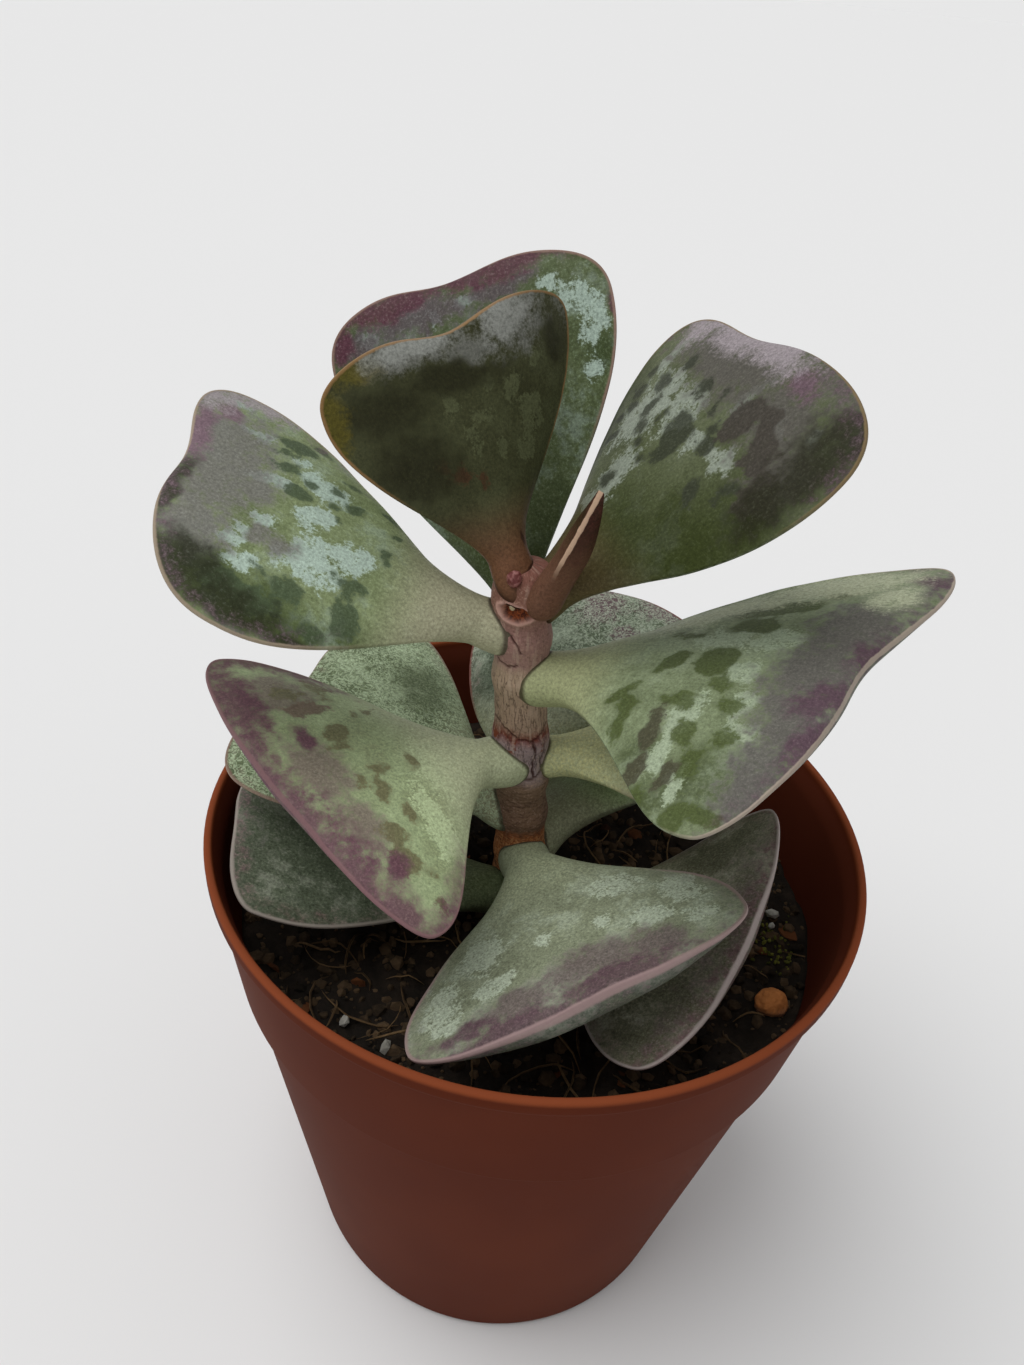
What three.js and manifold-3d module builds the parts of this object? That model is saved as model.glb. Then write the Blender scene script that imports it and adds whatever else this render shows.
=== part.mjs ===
// Potted calico hearts: a young spotted-leaf succulent in its small plastic nursery pot.
// Millimetres, +Z up. The origin is the centre of the pot's base. Seen from the plant's front, +X is to the
// right and +Y is to the back.

import * as THREE from "three";
import { mergeVertices } from "three/addons/utils/BufferGeometryUtils.js";
import Module from "manifold-3d";

const { clamp, degToRad, lerp, smoothstep } = THREE.MathUtils;
const wasm = await Module();
wasm.setup();

// Clear space between neighbouring pieces
const GAP = 0.3;

// Pot: a thin tapered cup with a straight band under its rim
const POT_HEIGHT = 51;
const RIM_RADIUS = 27.5;
const BAND_HEIGHT = 13;
const BAND_FOOT_RADIUS = 25.9;
const BAND_STEP = 0.6;
const BASE_RADIUS = 19.4;
const BASE_ROUND = 1.2;
const WALL = 0.9;
const FLOOR = 1.2;
const LIP_RADIUS = 0.6;
const LIP_DEPTH = 1.8;
const DRAIN_HOLES = 4;
const DRAIN_RADIUS = 2.6;
const DRAIN_CIRCLE = 12;
const DRAIN_SIDES = 16;
const POT_SIDES = 48;

// Soil: potting mix to a finger's breadth under the rim, a little lower round the stem
const SOIL_LEVEL = 41.1;
const SOIL_RELIEF = 0.35;
const SLOW_WAVE = 0.55;
const QUICK_WAVE = 0.8;
const DISH_RADIUS = 8;
const DISH_FLOOR_RADIUS = 3.2;
const DISH_DEPTH = 1.1;
const SOIL_RINGS = 7;

// Crumbs: flat lumps of the mix that stand out of its top
const CRUMBS = 26;
const CRUMB_SEED = 11;
const SMALLEST_CRUMB = 0.5;
const LARGEST_CRUMB = 1.0;
const CRUMB_SHAPE = [1, 0.8, 0.7];
const CRUMB_SINK = 0.2;

// Stem: a bare leaning trunk, swollen at each node, with a nub of new growth at its tip
const STEM_FOOT_X = -0.8;
const STEM_FOOT_HEIGHT = 41.7;
const STEM_LEAN = -0.084;
const STEM_BOTTOM = 27;
const STEM_TOP = 75.2;
const STEM_RADIUS = 2.1;
const STEM_BASE_SWELL = 0.3;
const STEM_BASE_LENGTH = 5;
const NODE_HEIGHTS = [44, 46.4, 51, 54.8, 59, 64.8, 68.6, 71.6];
const NODE_SWELL = 0.28;
const NODE_LENGTH = 1.1;
const STEM_SIDES = 16;
const STEM_STEP = 1.5;
const STEM_DOME_STEPS = 3;
const BUD_RADII = [1.2, 0.9, 1.0];
const BUD_PLACE = [-3.6, -1.9, 75];

// Pebble: half sunk in the soil
const PEBBLE_RADII = [1.5, 1.2, 1.1];
const PEBBLE_PLACE = [21.3, -9.2, 41.7];
const PEBBLE_TURN = 30;

// Leaves: a round stalk that opens into a thick wedge, widest near its notched end
const LEAF_SIDES = 12;
const LEAF_FLANK_RINGS = 9;
const LEAF_END_RINGS = 8;
const LEAF_RINGS = LEAF_FLANK_RINGS + LEAF_END_RINGS;
const FOOT_SWELL = 0.1; // how much fatter the stalk is at its foot, as a share of its width
const FOOT_LENGTH = 1.6;
const STALK_FLATNESS = 0.95; // the stalk's thickness over its width
const FLANKS_OPEN = 0.55; // where the flanks start to open, as a share of the stalk
const THICKEST = 0.55; // where the blade is thickest, as a share of the length
const THINS_FROM = 0.45; // where it starts to thin again, as a share of the length
const END_THINNING = 0.5; // the share of its thickness that it loses towards the end
const END_BLUNTNESS = 0.6; // how bluntly the end closes: 1 is round
const EDGE_SHARPNESS = 0.72; // how sharp the edges are: 0 is a round section
const NOTCH_WIDTH = 0.36;
const LEAF_FORM = {
  back: 0, // how far behind the stem's axis the stalk starts
  roll: 0, // degrees that the blade is rolled about its length
  bend: 5, // degrees that it arches up over its length
  twist: 0, // degrees that it twists over its length
  sway: 0, // degrees that it curves to its left over its length
  length: 25,
  width: 26,
  thick: 4.2,
  belly: 0.25, // how much fuller the underside is than the face
  stalk: 5,
  stalkWidth: 4.2,
  widest: 0.73, // where the blade is widest, as a share of its length past the stalk
  leftCorner: 2.6, // how square each corner of the end is: 2 is round
  rightCorner: 2.5,
  leftFlare: 1.3, // how late each flank opens: 1 is a plain wedge
  rightFlare: 1.4,
  lopsided: 0, // share of the half width that moves from the right to the left
  notch: 1.2, // depth of the notch in the end
  notchAt: 0.1, // its place, from -1 at the right corner to 1 at the left
  slant: 0, // how much further the left corner reaches than the middle
  cup: 0, // how far the two edges rise over the middle
};

// Each leaf: its height on the stem, the way it points round from +X, its rise over level, and its own cut
const LEAVES = {
  leaf_top_front: {
    at: 72.7, back: -0.9, turn: 145.5, rise: 56, roll: -14, bend: 21, twist: -5, length: 20, width: 20,
    thick: 3.4, stalkWidth: 3, widest: 0.76, rightFlare: 1.6, notchAt: 0, slant: -1, cup: -0.8,
  },
  leaf_top_back: {
    at: 67.8, back: 1.8, turn: 117, rise: 50, roll: -36, bend: 2, twist: 4, sway: 2, length: 29.2,
    width: 23.2, thick: 3.9, stalk: 4.4, stalkWidth: 3, widest: 0.77, leftFlare: 1.2, notch: 1, cup: 0.6,
  },
  leaf_upper_left: {
    at: 68.4, turn: 187, rise: 17, roll: -18, bend: 13, twist: 7, sway: -6, length: 28.5, width: 23,
    stalk: 6.7, stalkWidth: 3.8, leftCorner: 2.9, rightCorner: 2.7, leftFlare: 1.2, rightFlare: 1.7,
    lopsided: -0.07, notch: 1.3, notchAt: -0.25, slant: -2.5,
  },
  leaf_upper_right: {
    at: 70.3, back: 0.3, turn: 12, rise: 46, roll: 12.5, bend: 7.5, twist: -2.5, sway: 9, length: 26.8,
    width: 25, stalkWidth: 3.7, leftCorner: 2.8, notch: 1, notchAt: 0.35, slant: -0.4,
  },
  leaf_right: {
    at: 64.5, turn: -18.5, rise: 18.5, roll: 7, bend: 8.5, twist: 2.5, sway: -14.5, length: 26.9, width: 29.3,
    widest: 0.82, leftCorner: 3.1, rightFlare: 1.6, lopsided: 0.04, notch: 1.6, notchAt: 0.2, slant: 2.4,
    cup: -0.3,
  },
  leaf_left: {
    at: 56.4, turn: 217.5, rise: 12.5, roll: -4.5, bend: 6, twist: -8, sway: 10, length: 22.5, width: 27.8,
    stalk: 7.3, stalkWidth: 4.1, widest: 0.75, leftCorner: 2.15, leftFlare: 1.6, rightFlare: 1.3, notch: 0.3,
    notchAt: 0.25, slant: -1.4,
  },
  leaf_front: {
    at: 46.3, back: -0.4, turn: 290, rise: 15.5, roll: 18, bend: 13, twist: 5.5, sway: -5.5, length: 24.7,
    width: 25.8, thick: 5, belly: 0.6, stalk: 5.9, stalkWidth: 4.1, leftCorner: 3.3, rightCorner: 3.1,
    leftFlare: 1.15, notch: 0.2,
  },
  leaf_low_left: {
    at: 42.5, back: -1.8, turn: 198.5, rise: 16, roll: 8.5, bend: 14, twist: -11, sway: -22.5, length: 26.3,
    width: 24.3, stalk: 3.8, stalkWidth: 3.9, widest: 0.86, leftCorner: 2.15, leftFlare: 1.45,
    rightFlare: 1.3, lopsided: -0.16, notch: 0.4, notchAt: 0.35, slant: -2.5, cup: -0.4,
  },
  leaf_low_right: {
    at: 42.4, back: 0.2, turn: 327.5, rise: 6.5, roll: 5.5, bend: 33, twist: 11, sway: 2.5, length: 23.7,
    width: 26.2, belly: 0.35, stalk: 9, stalkWidth: 3.7, leftCorner: 2.3, leftFlare: 1.6, notch: 0, cup: 1,
  },
  leaf_back_left: {
    at: 50.4, back: -0.2, turn: 164.5, rise: 17.5, roll: -3, bend: 0, sway: -2.5, length: 23.6, stalk: 5.7,
    stalkWidth: 4, notch: 1.5, slant: 0.5,
  },
  leaf_back: {
    at: 53.9, back: 0.1, turn: 78.5, rise: 13.5, roll: -18.5, bend: 5, twist: 7.5, sway: -3.5, length: 24.6,
    width: 23.9, stalk: 4.4, stalkWidth: 4, widest: 0.7, rightCorner: 2.4, leftFlare: 0.75, rightFlare: 1.5,
    lopsided: -0.05, notch: 0.8, slant: 2.6, cup: -0.7,
  },
  leaf_back_right: {
    at: 55.9, back: -0.5, turn: -1, rise: 15, roll: -2, bend: 8, length: 21.5, width: 19, stalk: 5.7,
    stalkWidth: 3.4, notch: 1.5, slant: 0.7,
  },
  leaf_low_back: {
    at: 45.6, turn: 57, rise: 13.5, roll: -22, bend: 2, twist: -4.5, sway: -8.5, length: 23.3, width: 21.1,
    stalk: 5.3, rightFlare: 1.9, lopsided: -0.16, notch: 1.5, slant: 0.5,
  },
};

// The young leaf: narrow, pointed and nearly upright beside the tip
const YOUNG_LEAF = {
  at: 71.8, back: -2.3, turn: -26, rise: 62, roll: 3.5, bend: 8, twist: 1.5, sway: -2, length: 11.8,
  width: 4.8, thick: 2.4, belly: 0.2, stalk: 1.9, stalkWidth: 2.8, widest: 0.45, leftCorner: 1.35,
  rightCorner: 1.35, rightFlare: 1.3, notch: 0,
};

const POT_LOOK = { color: 0x5c2f22, roughness: 0.55, metalness: 0 };
const SOIL_LOOK = { color: 0x1d1712, roughness: 1, metalness: 0 };
const STEM_LOOK = { color: 0x8a6a5c, roughness: 0.8, metalness: 0 };
const LEAF_LOOK = { color: 0x6f8568, roughness: 0.6, metalness: 0 };
const YOUNG_LOOK = { color: 0x7a4a44, roughness: 0.6, metalness: 0 };
const PEBBLE_LOOK = { color: 0x8c6a4a, roughness: 0.9, metalness: 0 };

// A closed surface as a solid that can be joined and cut
function solidOf(geometry) {
  const bare = geometry.clone();
  bare.deleteAttribute("normal");
  bare.deleteAttribute("uv");
  const merged = mergeVertices(bare, 1e-4);
  return new wasm.Manifold(
    new wasm.Mesh({
      numProp: 3,
      vertProperties: new Float32Array(merged.attributes.position.array),
      triVerts: new Uint32Array(merged.index.array),
    }),
  );
}

// A solid as a named piece with its own material
function piece(name, solid, look) {
  const mesh = solid.getMesh();
  const geometry = new THREE.BufferGeometry();
  geometry.setAttribute("position", new THREE.BufferAttribute(mesh.vertProperties, 3));
  geometry.setIndex(new THREE.BufferAttribute(mesh.triVerts, 1));
  geometry.computeVertexNormals();
  const made = new THREE.Mesh(geometry, new THREE.MeshStandardMaterial(look));
  made.name = name;
  return made;
}

// A profile of radius and height, turned about the vertical
function turned(points, sides) {
  return new THREE.LatheGeometry(points, sides).rotateX(Math.PI / 2);
}

// The radius of the pot's inner wall at a height, body and band
const BAND_FOOT = POT_HEIGHT - BAND_HEIGHT;
const BODY_TOP_RADIUS = BAND_FOOT_RADIUS - BAND_STEP;
function insideRadius(height) {
  if (height < BAND_FOOT) {
    return lerp(BASE_RADIUS, BODY_TOP_RADIUS, height / BAND_FOOT) - WALL;
  }
  return lerp(BAND_FOOT_RADIUS, RIM_RADIUS, (height - BAND_FOOT) / BAND_HEIGHT) - WALL;
}

// The pot: outside from the base up to the rounded lip, and back down the inside to the floor
function potSolid() {
  const profile = new THREE.Path();
  profile.moveTo(0, 0);
  profile.lineTo(BASE_RADIUS - BASE_ROUND, 0);
  profile.absarc(BASE_RADIUS - BASE_ROUND, BASE_ROUND, BASE_ROUND, -Math.PI / 2, 0, false);
  profile.lineTo(BODY_TOP_RADIUS, BAND_FOOT);
  profile.lineTo(BAND_FOOT_RADIUS, BAND_FOOT);
  profile.absarc(RIM_RADIUS - LIP_RADIUS, POT_HEIGHT - LIP_RADIUS, LIP_RADIUS, 0, Math.PI, false);
  profile.lineTo(insideRadius(POT_HEIGHT - LIP_DEPTH), POT_HEIGHT - LIP_DEPTH);
  profile.lineTo(insideRadius(BAND_FOOT + WALL), BAND_FOOT + WALL);
  profile.lineTo(BODY_TOP_RADIUS - WALL, BAND_FOOT - WALL);
  profile.lineTo(insideRadius(FLOOR), FLOOR);
  profile.lineTo(0, FLOOR);
  let pot = solidOf(turned(profile.getPoints(2), POT_SIDES));
  for (let hole = 0; hole < DRAIN_HOLES; hole += 1) {
    const angle = ((hole + 0.5) / DRAIN_HOLES) * 2 * Math.PI;
    const drain = new THREE.CylinderGeometry(DRAIN_RADIUS, DRAIN_RADIUS, 4 * FLOOR, DRAIN_SIDES);
    drain.rotateX(Math.PI / 2);
    drain.translate(DRAIN_CIRCLE * Math.cos(angle), DRAIN_CIRCLE * Math.sin(angle), 0);
    pot = pot.subtract(solidOf(drain));
  }
  return pot;
}

// Where the stem's axis is at a height
function stemX(height) {
  return STEM_FOOT_X + STEM_LEAN * (height - STEM_FOOT_HEIGHT);
}

// The stem's radius at a height: fuller at its base and at each node
function stemRadius(height) {
  const base = 1 - smoothstep(height, STEM_FOOT_HEIGHT, STEM_FOOT_HEIGHT + STEM_BASE_LENGTH);
  let radius = STEM_RADIUS + STEM_BASE_SWELL * base;
  for (const node of NODE_HEIGHTS) {
    radius += NODE_SWELL * Math.exp(-(((height - node) / NODE_LENGTH) ** 2));
  }
  return radius;
}

// The stem, or with a margin the clear space round it
function stemSolid(margin) {
  const shoulder = STEM_TOP - STEM_RADIUS;
  const bottom = STEM_BOTTOM - margin;
  const profile = [new THREE.Vector2(0, bottom)];
  const steps = Math.round((shoulder - STEM_BOTTOM) / STEM_STEP);
  for (let step = 0; step <= steps; step += 1) {
    const height = lerp(bottom, shoulder, step / steps);
    profile.push(new THREE.Vector2(stemRadius(height) + margin, height));
  }
  for (let step = 1; step <= STEM_DOME_STEPS; step += 1) {
    const angle = (step / STEM_DOME_STEPS) * (Math.PI / 2);
    const radius = STEM_RADIUS + margin;
    profile.push(new THREE.Vector2(radius * Math.cos(angle), shoulder + radius * Math.sin(angle)));
  }
  const shaft = turned(profile, STEM_SIDES);
  const position = shaft.attributes.position;
  for (let i = 0; i < position.count; i += 1) {
    position.setX(i, position.getX(i) + stemX(position.getZ(i)));
  }
  const bud = new THREE.SphereGeometry(1, 10, 8);
  bud.scale(...BUD_RADII.map((radius) => radius + margin));
  bud.translate(...BUD_PLACE);
  return solidOf(shaft).add(solidOf(bud));
}

// How far a leaf's end has turned round at a ring: 0 at its widest, a quarter turn at its very end
function endTurn(ring) {
  return (Math.max(ring - LEAF_FLANK_RINGS - 1, 0) / (LEAF_END_RINGS - 1)) * (Math.PI / 2);
}

// One flank of a leaf's outline at a ring: how far along the leaf, and how far out from its midline
function flankPoint(form, ring, reach, corner, flare) {
  const widest = form.stalk + (form.length - form.stalk) * form.widest;
  if (ring <= LEAF_FLANK_RINGS) {
    const along = (widest * (ring - 1)) / LEAF_FLANK_RINGS;
    const opens = FLANKS_OPEN * form.stalk;
    const open = clamp((along - opens) / (widest - opens), 0, 1);
    return { along, out: lerp(form.stalkWidth / 2, reach, Math.sin((open * Math.PI) / 2) ** flare) };
  }
  const turn = endTurn(ring);
  return {
    along: lerp(widest, form.length, Math.sin(turn) ** (2 / corner)),
    out: reach * Math.cos(turn) ** (2 / corner),
  };
}

// How far a change has come in along a leaf: it starts partway up the stalk and takes a share of the length
function comesIn(form, along, stalkShare, lengthShare) {
  const start = stalkShare * form.stalk;
  return smoothstep(along, start, start + lengthShare * form.length);
}

// Half the thickness of a leaf's middle at a ring: the round stalk swells into the blade, which thins again
function halfThickness(form, ring, along, foot) {
  const stalkHalf = (form.stalkWidth / 2) * STALK_FLATNESS * foot;
  const swelled = lerp(stalkHalf, form.thick / 2, smoothstep(along, 0, THICKEST * form.length));
  const late = clamp((along / form.length - THINS_FROM) / (1 - THINS_FROM), 0, 1);
  return swelled * (1 - END_THINNING * late ** 2) * Math.cos(endTurn(ring)) ** END_BLUNTNESS;
}

// A point of the leaf's surface before it is bent: x along, y to the left, z up from the face
function bladePoint(form, ring, angle) {
  const across = Math.cos(angle);
  const up = Math.sin(angle);
  const leftReach = (form.width / 2) * (1 + form.lopsided);
  const rightReach = (form.width / 2) * (1 - form.lopsided);
  const left = flankPoint(form, ring, leftReach, form.leftCorner, form.leftFlare);
  const right = flankPoint(form, ring, rightReach, form.rightCorner, form.rightFlare);
  const along = (left.along + right.along) / 2;
  const foot = 1 + FOOT_SWELL * Math.exp(-(((along - form.stalkWidth / 2) / FOOT_LENGTH) ** 2));

  const y = (across >= 0 ? left.out : right.out) * across * foot;
  const share = y / (across >= 0 ? leftReach : rightReach);
  const opened = smoothstep(along, form.stalk, form.length);
  const dip = form.notch * Math.exp(-(((share - form.notchAt) / NOTCH_WIDTH) ** 2));
  const x = lerp(right.along, left.along, smoothstep(across, -1, 1)) + opened * (form.slant * share - dip);

  const lens = 1 + EDGE_SHARPNESS * comesIn(form, along, 0.3, 0.35);
  const fuller = form.belly * comesIn(form, along, 0.5, 0.4);
  const side = up > 0 ? 1 - fuller : -1 - fuller;
  const rim = form.cup * share ** 2 * comesIn(form, along, 0.5, 0.6);
  const z = halfThickness(form, ring, along, foot) * Math.abs(up) ** lens * side + rim;
  return new THREE.Vector3(x, y, z);
}

// Wraps a point onto an arc: its distance along becomes a place on the arc, and its offset stands out from it
function arc(degrees, length, along, offset) {
  const turn = degToRad(degrees) / length;
  if (turn === 0) {
    return [along, offset];
  }
  const angle = along * turn;
  return [
    Math.sin(angle) / turn - offset * Math.sin(angle),
    (1 - Math.cos(angle)) / turn + offset * Math.cos(angle),
  ];
}

// A leaf in place on the stem
function leafSolid(own) {
  const form = { ...LEAF_FORM, ...own };
  const midline = new THREE.Vector3(1, 0, 0);
  const geometry = new THREE.SphereGeometry(1, LEAF_SIDES, LEAF_RINGS);
  const position = geometry.attributes.position;
  for (let ring = 0; ring <= LEAF_RINGS; ring += 1) {
    for (let side = 0; side <= LEAF_SIDES; side += 1) {
      const angle = Math.PI - (side / LEAF_SIDES) * 2 * Math.PI;
      const point = ring === 0 ? new THREE.Vector3() : bladePoint(form, ring, angle);
      point.applyAxisAngle(midline, degToRad(form.twist) * clamp(point.x / form.length, 0, 1.2));
      [point.x, point.z] = arc(form.bend, form.length, point.x, point.z);
      [point.x, point.y] = arc(form.sway, form.length, point.x, point.y);
      position.setXYZ(ring * (LEAF_SIDES + 1) + side, point.x, point.y, point.z);
    }
  }
  geometry.rotateX(degToRad(form.roll));
  geometry.rotateY(-degToRad(form.rise));
  geometry.rotateZ(degToRad(form.turn));
  geometry.translate(stemX(form.at), form.back, form.at);
  return solidOf(geometry);
}

// The height of the soil at a place: gentle waves, and a shallow dish round the stem
function soilHeight(x, y) {
  const waves = Math.sin(SLOW_WAVE * x + 1) * Math.cos(SLOW_WAVE * y) + 0.5 * Math.sin(QUICK_WAVE * (x + y));
  const fromStem = Math.hypot(x - stemX(SOIL_LEVEL), y);
  const dish = 1 - smoothstep(fromStem, DISH_FLOOR_RADIUS, DISH_RADIUS);
  return SOIL_LEVEL + SOIL_RELIEF * waves * (1 - dish) - DISH_DEPTH * dish;
}

// A small angular lump of soil or stone
function lump(radii, place, turn) {
  return new THREE.IcosahedronGeometry(1, 0)
    .scale(...radii)
    .rotateZ(turn)
    .translate(...place);
}

// A seeded source of numbers between 0 and 1
function randomFrom(seed) {
  const modulus = 2147483647;
  const multiplier = 16807;
  let state = seed;
  return () => {
    state = (state * multiplier) % modulus;
    return state / modulus;
  };
}

// The soil: it fills the pot clear of its wall, with crumbs sunk in its top
function soilSolid(stemSpace, pebbleSpace) {
  const edge = insideRadius(SOIL_LEVEL) - GAP;
  const profile = [
    new THREE.Vector2(0, FLOOR + GAP),
    new THREE.Vector2(insideRadius(FLOOR) - GAP, FLOOR + GAP),
    new THREE.Vector2(BODY_TOP_RADIUS - WALL - GAP, BAND_FOOT - WALL),
    new THREE.Vector2(insideRadius(BAND_FOOT + WALL) - GAP, BAND_FOOT + WALL),
  ];
  const topStart = profile.length;
  for (let ring = 0; ring <= SOIL_RINGS; ring += 1) {
    profile.push(new THREE.Vector2(edge * (1 - ring / SOIL_RINGS), SOIL_LEVEL));
  }
  const body = turned(profile, POT_SIDES);
  const position = body.attributes.position;
  for (let i = 0; i < position.count; i += 1) {
    if (i % profile.length >= topStart) {
      position.setZ(i, soilHeight(position.getX(i), position.getY(i)));
    }
  }

  const random = randomFrom(CRUMB_SEED);
  let soil = solidOf(body);
  for (let crumb = 0; crumb < CRUMBS; crumb += 1) {
    const radius = lerp(SMALLEST_CRUMB, LARGEST_CRUMB, random());
    const reach = Math.sqrt(random()) * (edge - LARGEST_CRUMB);
    const angle = 2 * Math.PI * random();
    const x = reach * Math.cos(angle);
    const y = reach * Math.sin(angle);
    const radii = CRUMB_SHAPE.map((share) => share * radius);
    soil = soil.add(solidOf(lump(radii, [x, y, soilHeight(x, y) - CRUMB_SINK * radius], angle)));
  }
  return soil.subtract(stemSpace).subtract(pebbleSpace);
}

// The pebble, or with a margin the clear space round it
function pebbleSolid(margin) {
  const radii = PEBBLE_RADII.map((radius) => radius + margin);
  return solidOf(lump(radii, PEBBLE_PLACE, degToRad(PEBBLE_TURN)));
}

const stemSpace = stemSolid(GAP);

const nursery_pot = new THREE.Group();
nursery_pot.add(piece("pot", potSolid(), POT_LOOK));
nursery_pot.add(piece("soil", soilSolid(stemSpace, pebbleSolid(GAP)), SOIL_LOOK));
nursery_pot.add(piece("pebble", pebbleSolid(0), PEBBLE_LOOK));

const plant = new THREE.Group();
plant.add(piece("stem", stemSolid(0), STEM_LOOK));
for (const [name, form] of Object.entries(LEAVES)) {
  plant.add(piece(name, leafSolid(form).subtract(stemSpace), LEAF_LOOK));
}
plant.add(piece("young_leaf", leafSolid(YOUNG_LEAF).subtract(stemSpace), YOUNG_LOOK));

const root = new THREE.Group();
root.add(nursery_pot, plant);
export default root;
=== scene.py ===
import math
import random

import bmesh
import bpy
import numpy as np
from mathutils import Matrix, Vector, noise


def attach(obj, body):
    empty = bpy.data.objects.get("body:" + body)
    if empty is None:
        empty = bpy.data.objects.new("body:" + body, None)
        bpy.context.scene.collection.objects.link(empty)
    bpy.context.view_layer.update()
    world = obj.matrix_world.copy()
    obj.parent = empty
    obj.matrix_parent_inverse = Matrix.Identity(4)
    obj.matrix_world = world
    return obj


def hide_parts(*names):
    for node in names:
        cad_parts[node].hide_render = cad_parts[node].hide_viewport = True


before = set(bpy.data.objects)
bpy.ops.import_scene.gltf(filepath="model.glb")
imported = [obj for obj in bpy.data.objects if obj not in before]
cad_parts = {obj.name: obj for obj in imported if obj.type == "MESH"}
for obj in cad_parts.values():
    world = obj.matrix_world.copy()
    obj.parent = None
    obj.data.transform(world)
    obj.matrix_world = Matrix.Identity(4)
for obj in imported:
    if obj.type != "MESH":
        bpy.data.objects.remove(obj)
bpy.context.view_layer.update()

# The picture is taken with a wide lens held close above the rim and tilted down, so the plant
# stands large over its pot. The camera leans a little to one side.
MM = 0.001
CAMERA_PLACE = Vector((0, -66.25, 110.2)) * MM
CAMERA_TURN = (54.967, -4.867, 6.366)
CAMERA_LENS = 27.0
SENSOR = 36

scene = bpy.context.scene
camera_lens = bpy.data.cameras.new("camera")
camera_lens.lens = CAMERA_LENS
camera_lens.sensor_width = SENSOR
camera_lens.clip_start = 10 * MM
camera = bpy.data.objects.new("camera", camera_lens)
camera.location = CAMERA_PLACE
camera.rotation_euler = [math.radians(angle) for angle in CAMERA_TURN]
scene.collection.objects.link(camera)
scene.camera = camera


# The pot is one thin cup of brown-red plastic, pressed in a mould: a tapered body, a straighter
# band that stands a step proud of it, a thin lip with a painted highlight along its top edge,
# and four holes in the floor for the water.
POT_HEIGHT = 51
RIM_RADIUS = 27.5
BAND_FOOT = 38
BAND_FOOT_RADIUS = 25.9
BAND_STEP = 0.6
BASE_RADIUS = 19.4
BASE_ROUND = 1.2
BASE_RECESS = 0.4
RECESS_RADIUS = 16.6
WALL = 0.9
POT_FLOOR = 1.2
LIP_RADIUS = 0.35
LIP_STEP = 0.25
LIP_OUTSIDE = 0.28
LIP_INSIDE = 0.3
LIP_DEPTH = 1.8
LIP_INNER_DEPTH = 2.2
BAND_TAPER = 0.123
MID_WALL = 20.8  # the middle of the band's wall, run down to the floor along its taper
DRAIN_HOLES = 4
DRAIN_RADIUS = 2.6
DRAIN_CIRCLE = 12
DRILL_DEPTH = 8
FILLET_STEPS = 5
POT_STEPS = 160


def filleted(outline):
    """The points of an outline whose corners (radius, height, fillet) are rounded off."""
    points = []
    for index, (radius, height, fillet) in enumerate(outline):
        corner = Vector((radius, height))
        if not fillet:
            points.append(corner)
            continue
        back = (Vector(outline[index - 1][:2]) - corner).normalized() * fillet
        ahead = (Vector(outline[index + 1][:2]) - corner).normalized() * fillet
        for step in range(FILLET_STEPS + 1):
            share = step / FILLET_STEPS
            points.append(corner + back * (1 - share) ** 2 + ahead * share**2)
    return points


def spun(outline, steps):
    """A bmesh of an outline of (radius, height) points, spun round the upright axis."""
    shape = bmesh.new()
    line = [shape.verts.new((radius * MM, 0, height * MM)) for radius, height in outline]
    edges = [shape.edges.new(pair) for pair in zip(line, line[1:])]
    bmesh.ops.spin(
        shape, geom=line + edges, cent=(0, 0, 0), axis=(0, 0, 1), angle=math.tau, steps=steps,
        use_merge=True,
    )
    bmesh.ops.remove_doubles(shape, verts=shape.verts, dist=1e-7)
    bmesh.ops.recalc_face_normals(shape, faces=shape.faces)
    return shape


def piece_of(shape, name, finish, crease=40):
    """The finished object of a bmesh: smooth, but for edges sharper than the crease angle."""
    mesh = bpy.data.meshes.new(name)
    shape.to_mesh(mesh)
    shape.free()
    mesh.shade_smooth()
    mesh.set_sharp_from_angle(angle=math.radians(crease))
    mesh.materials.append(finish.material)
    piece = bpy.data.objects.new(name, mesh)
    scene.collection.objects.link(piece)
    return piece


def paint(code):
    """The linear colour of a six-digit screen colour."""
    levels = [int(code[place:place + 2], 16) / 255 for place in (0, 2, 4)]
    return (*[((level + 0.055) / 1.055) ** 2.4 if level > 0.04 else level / 12.92 for level in levels], 1)


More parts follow.
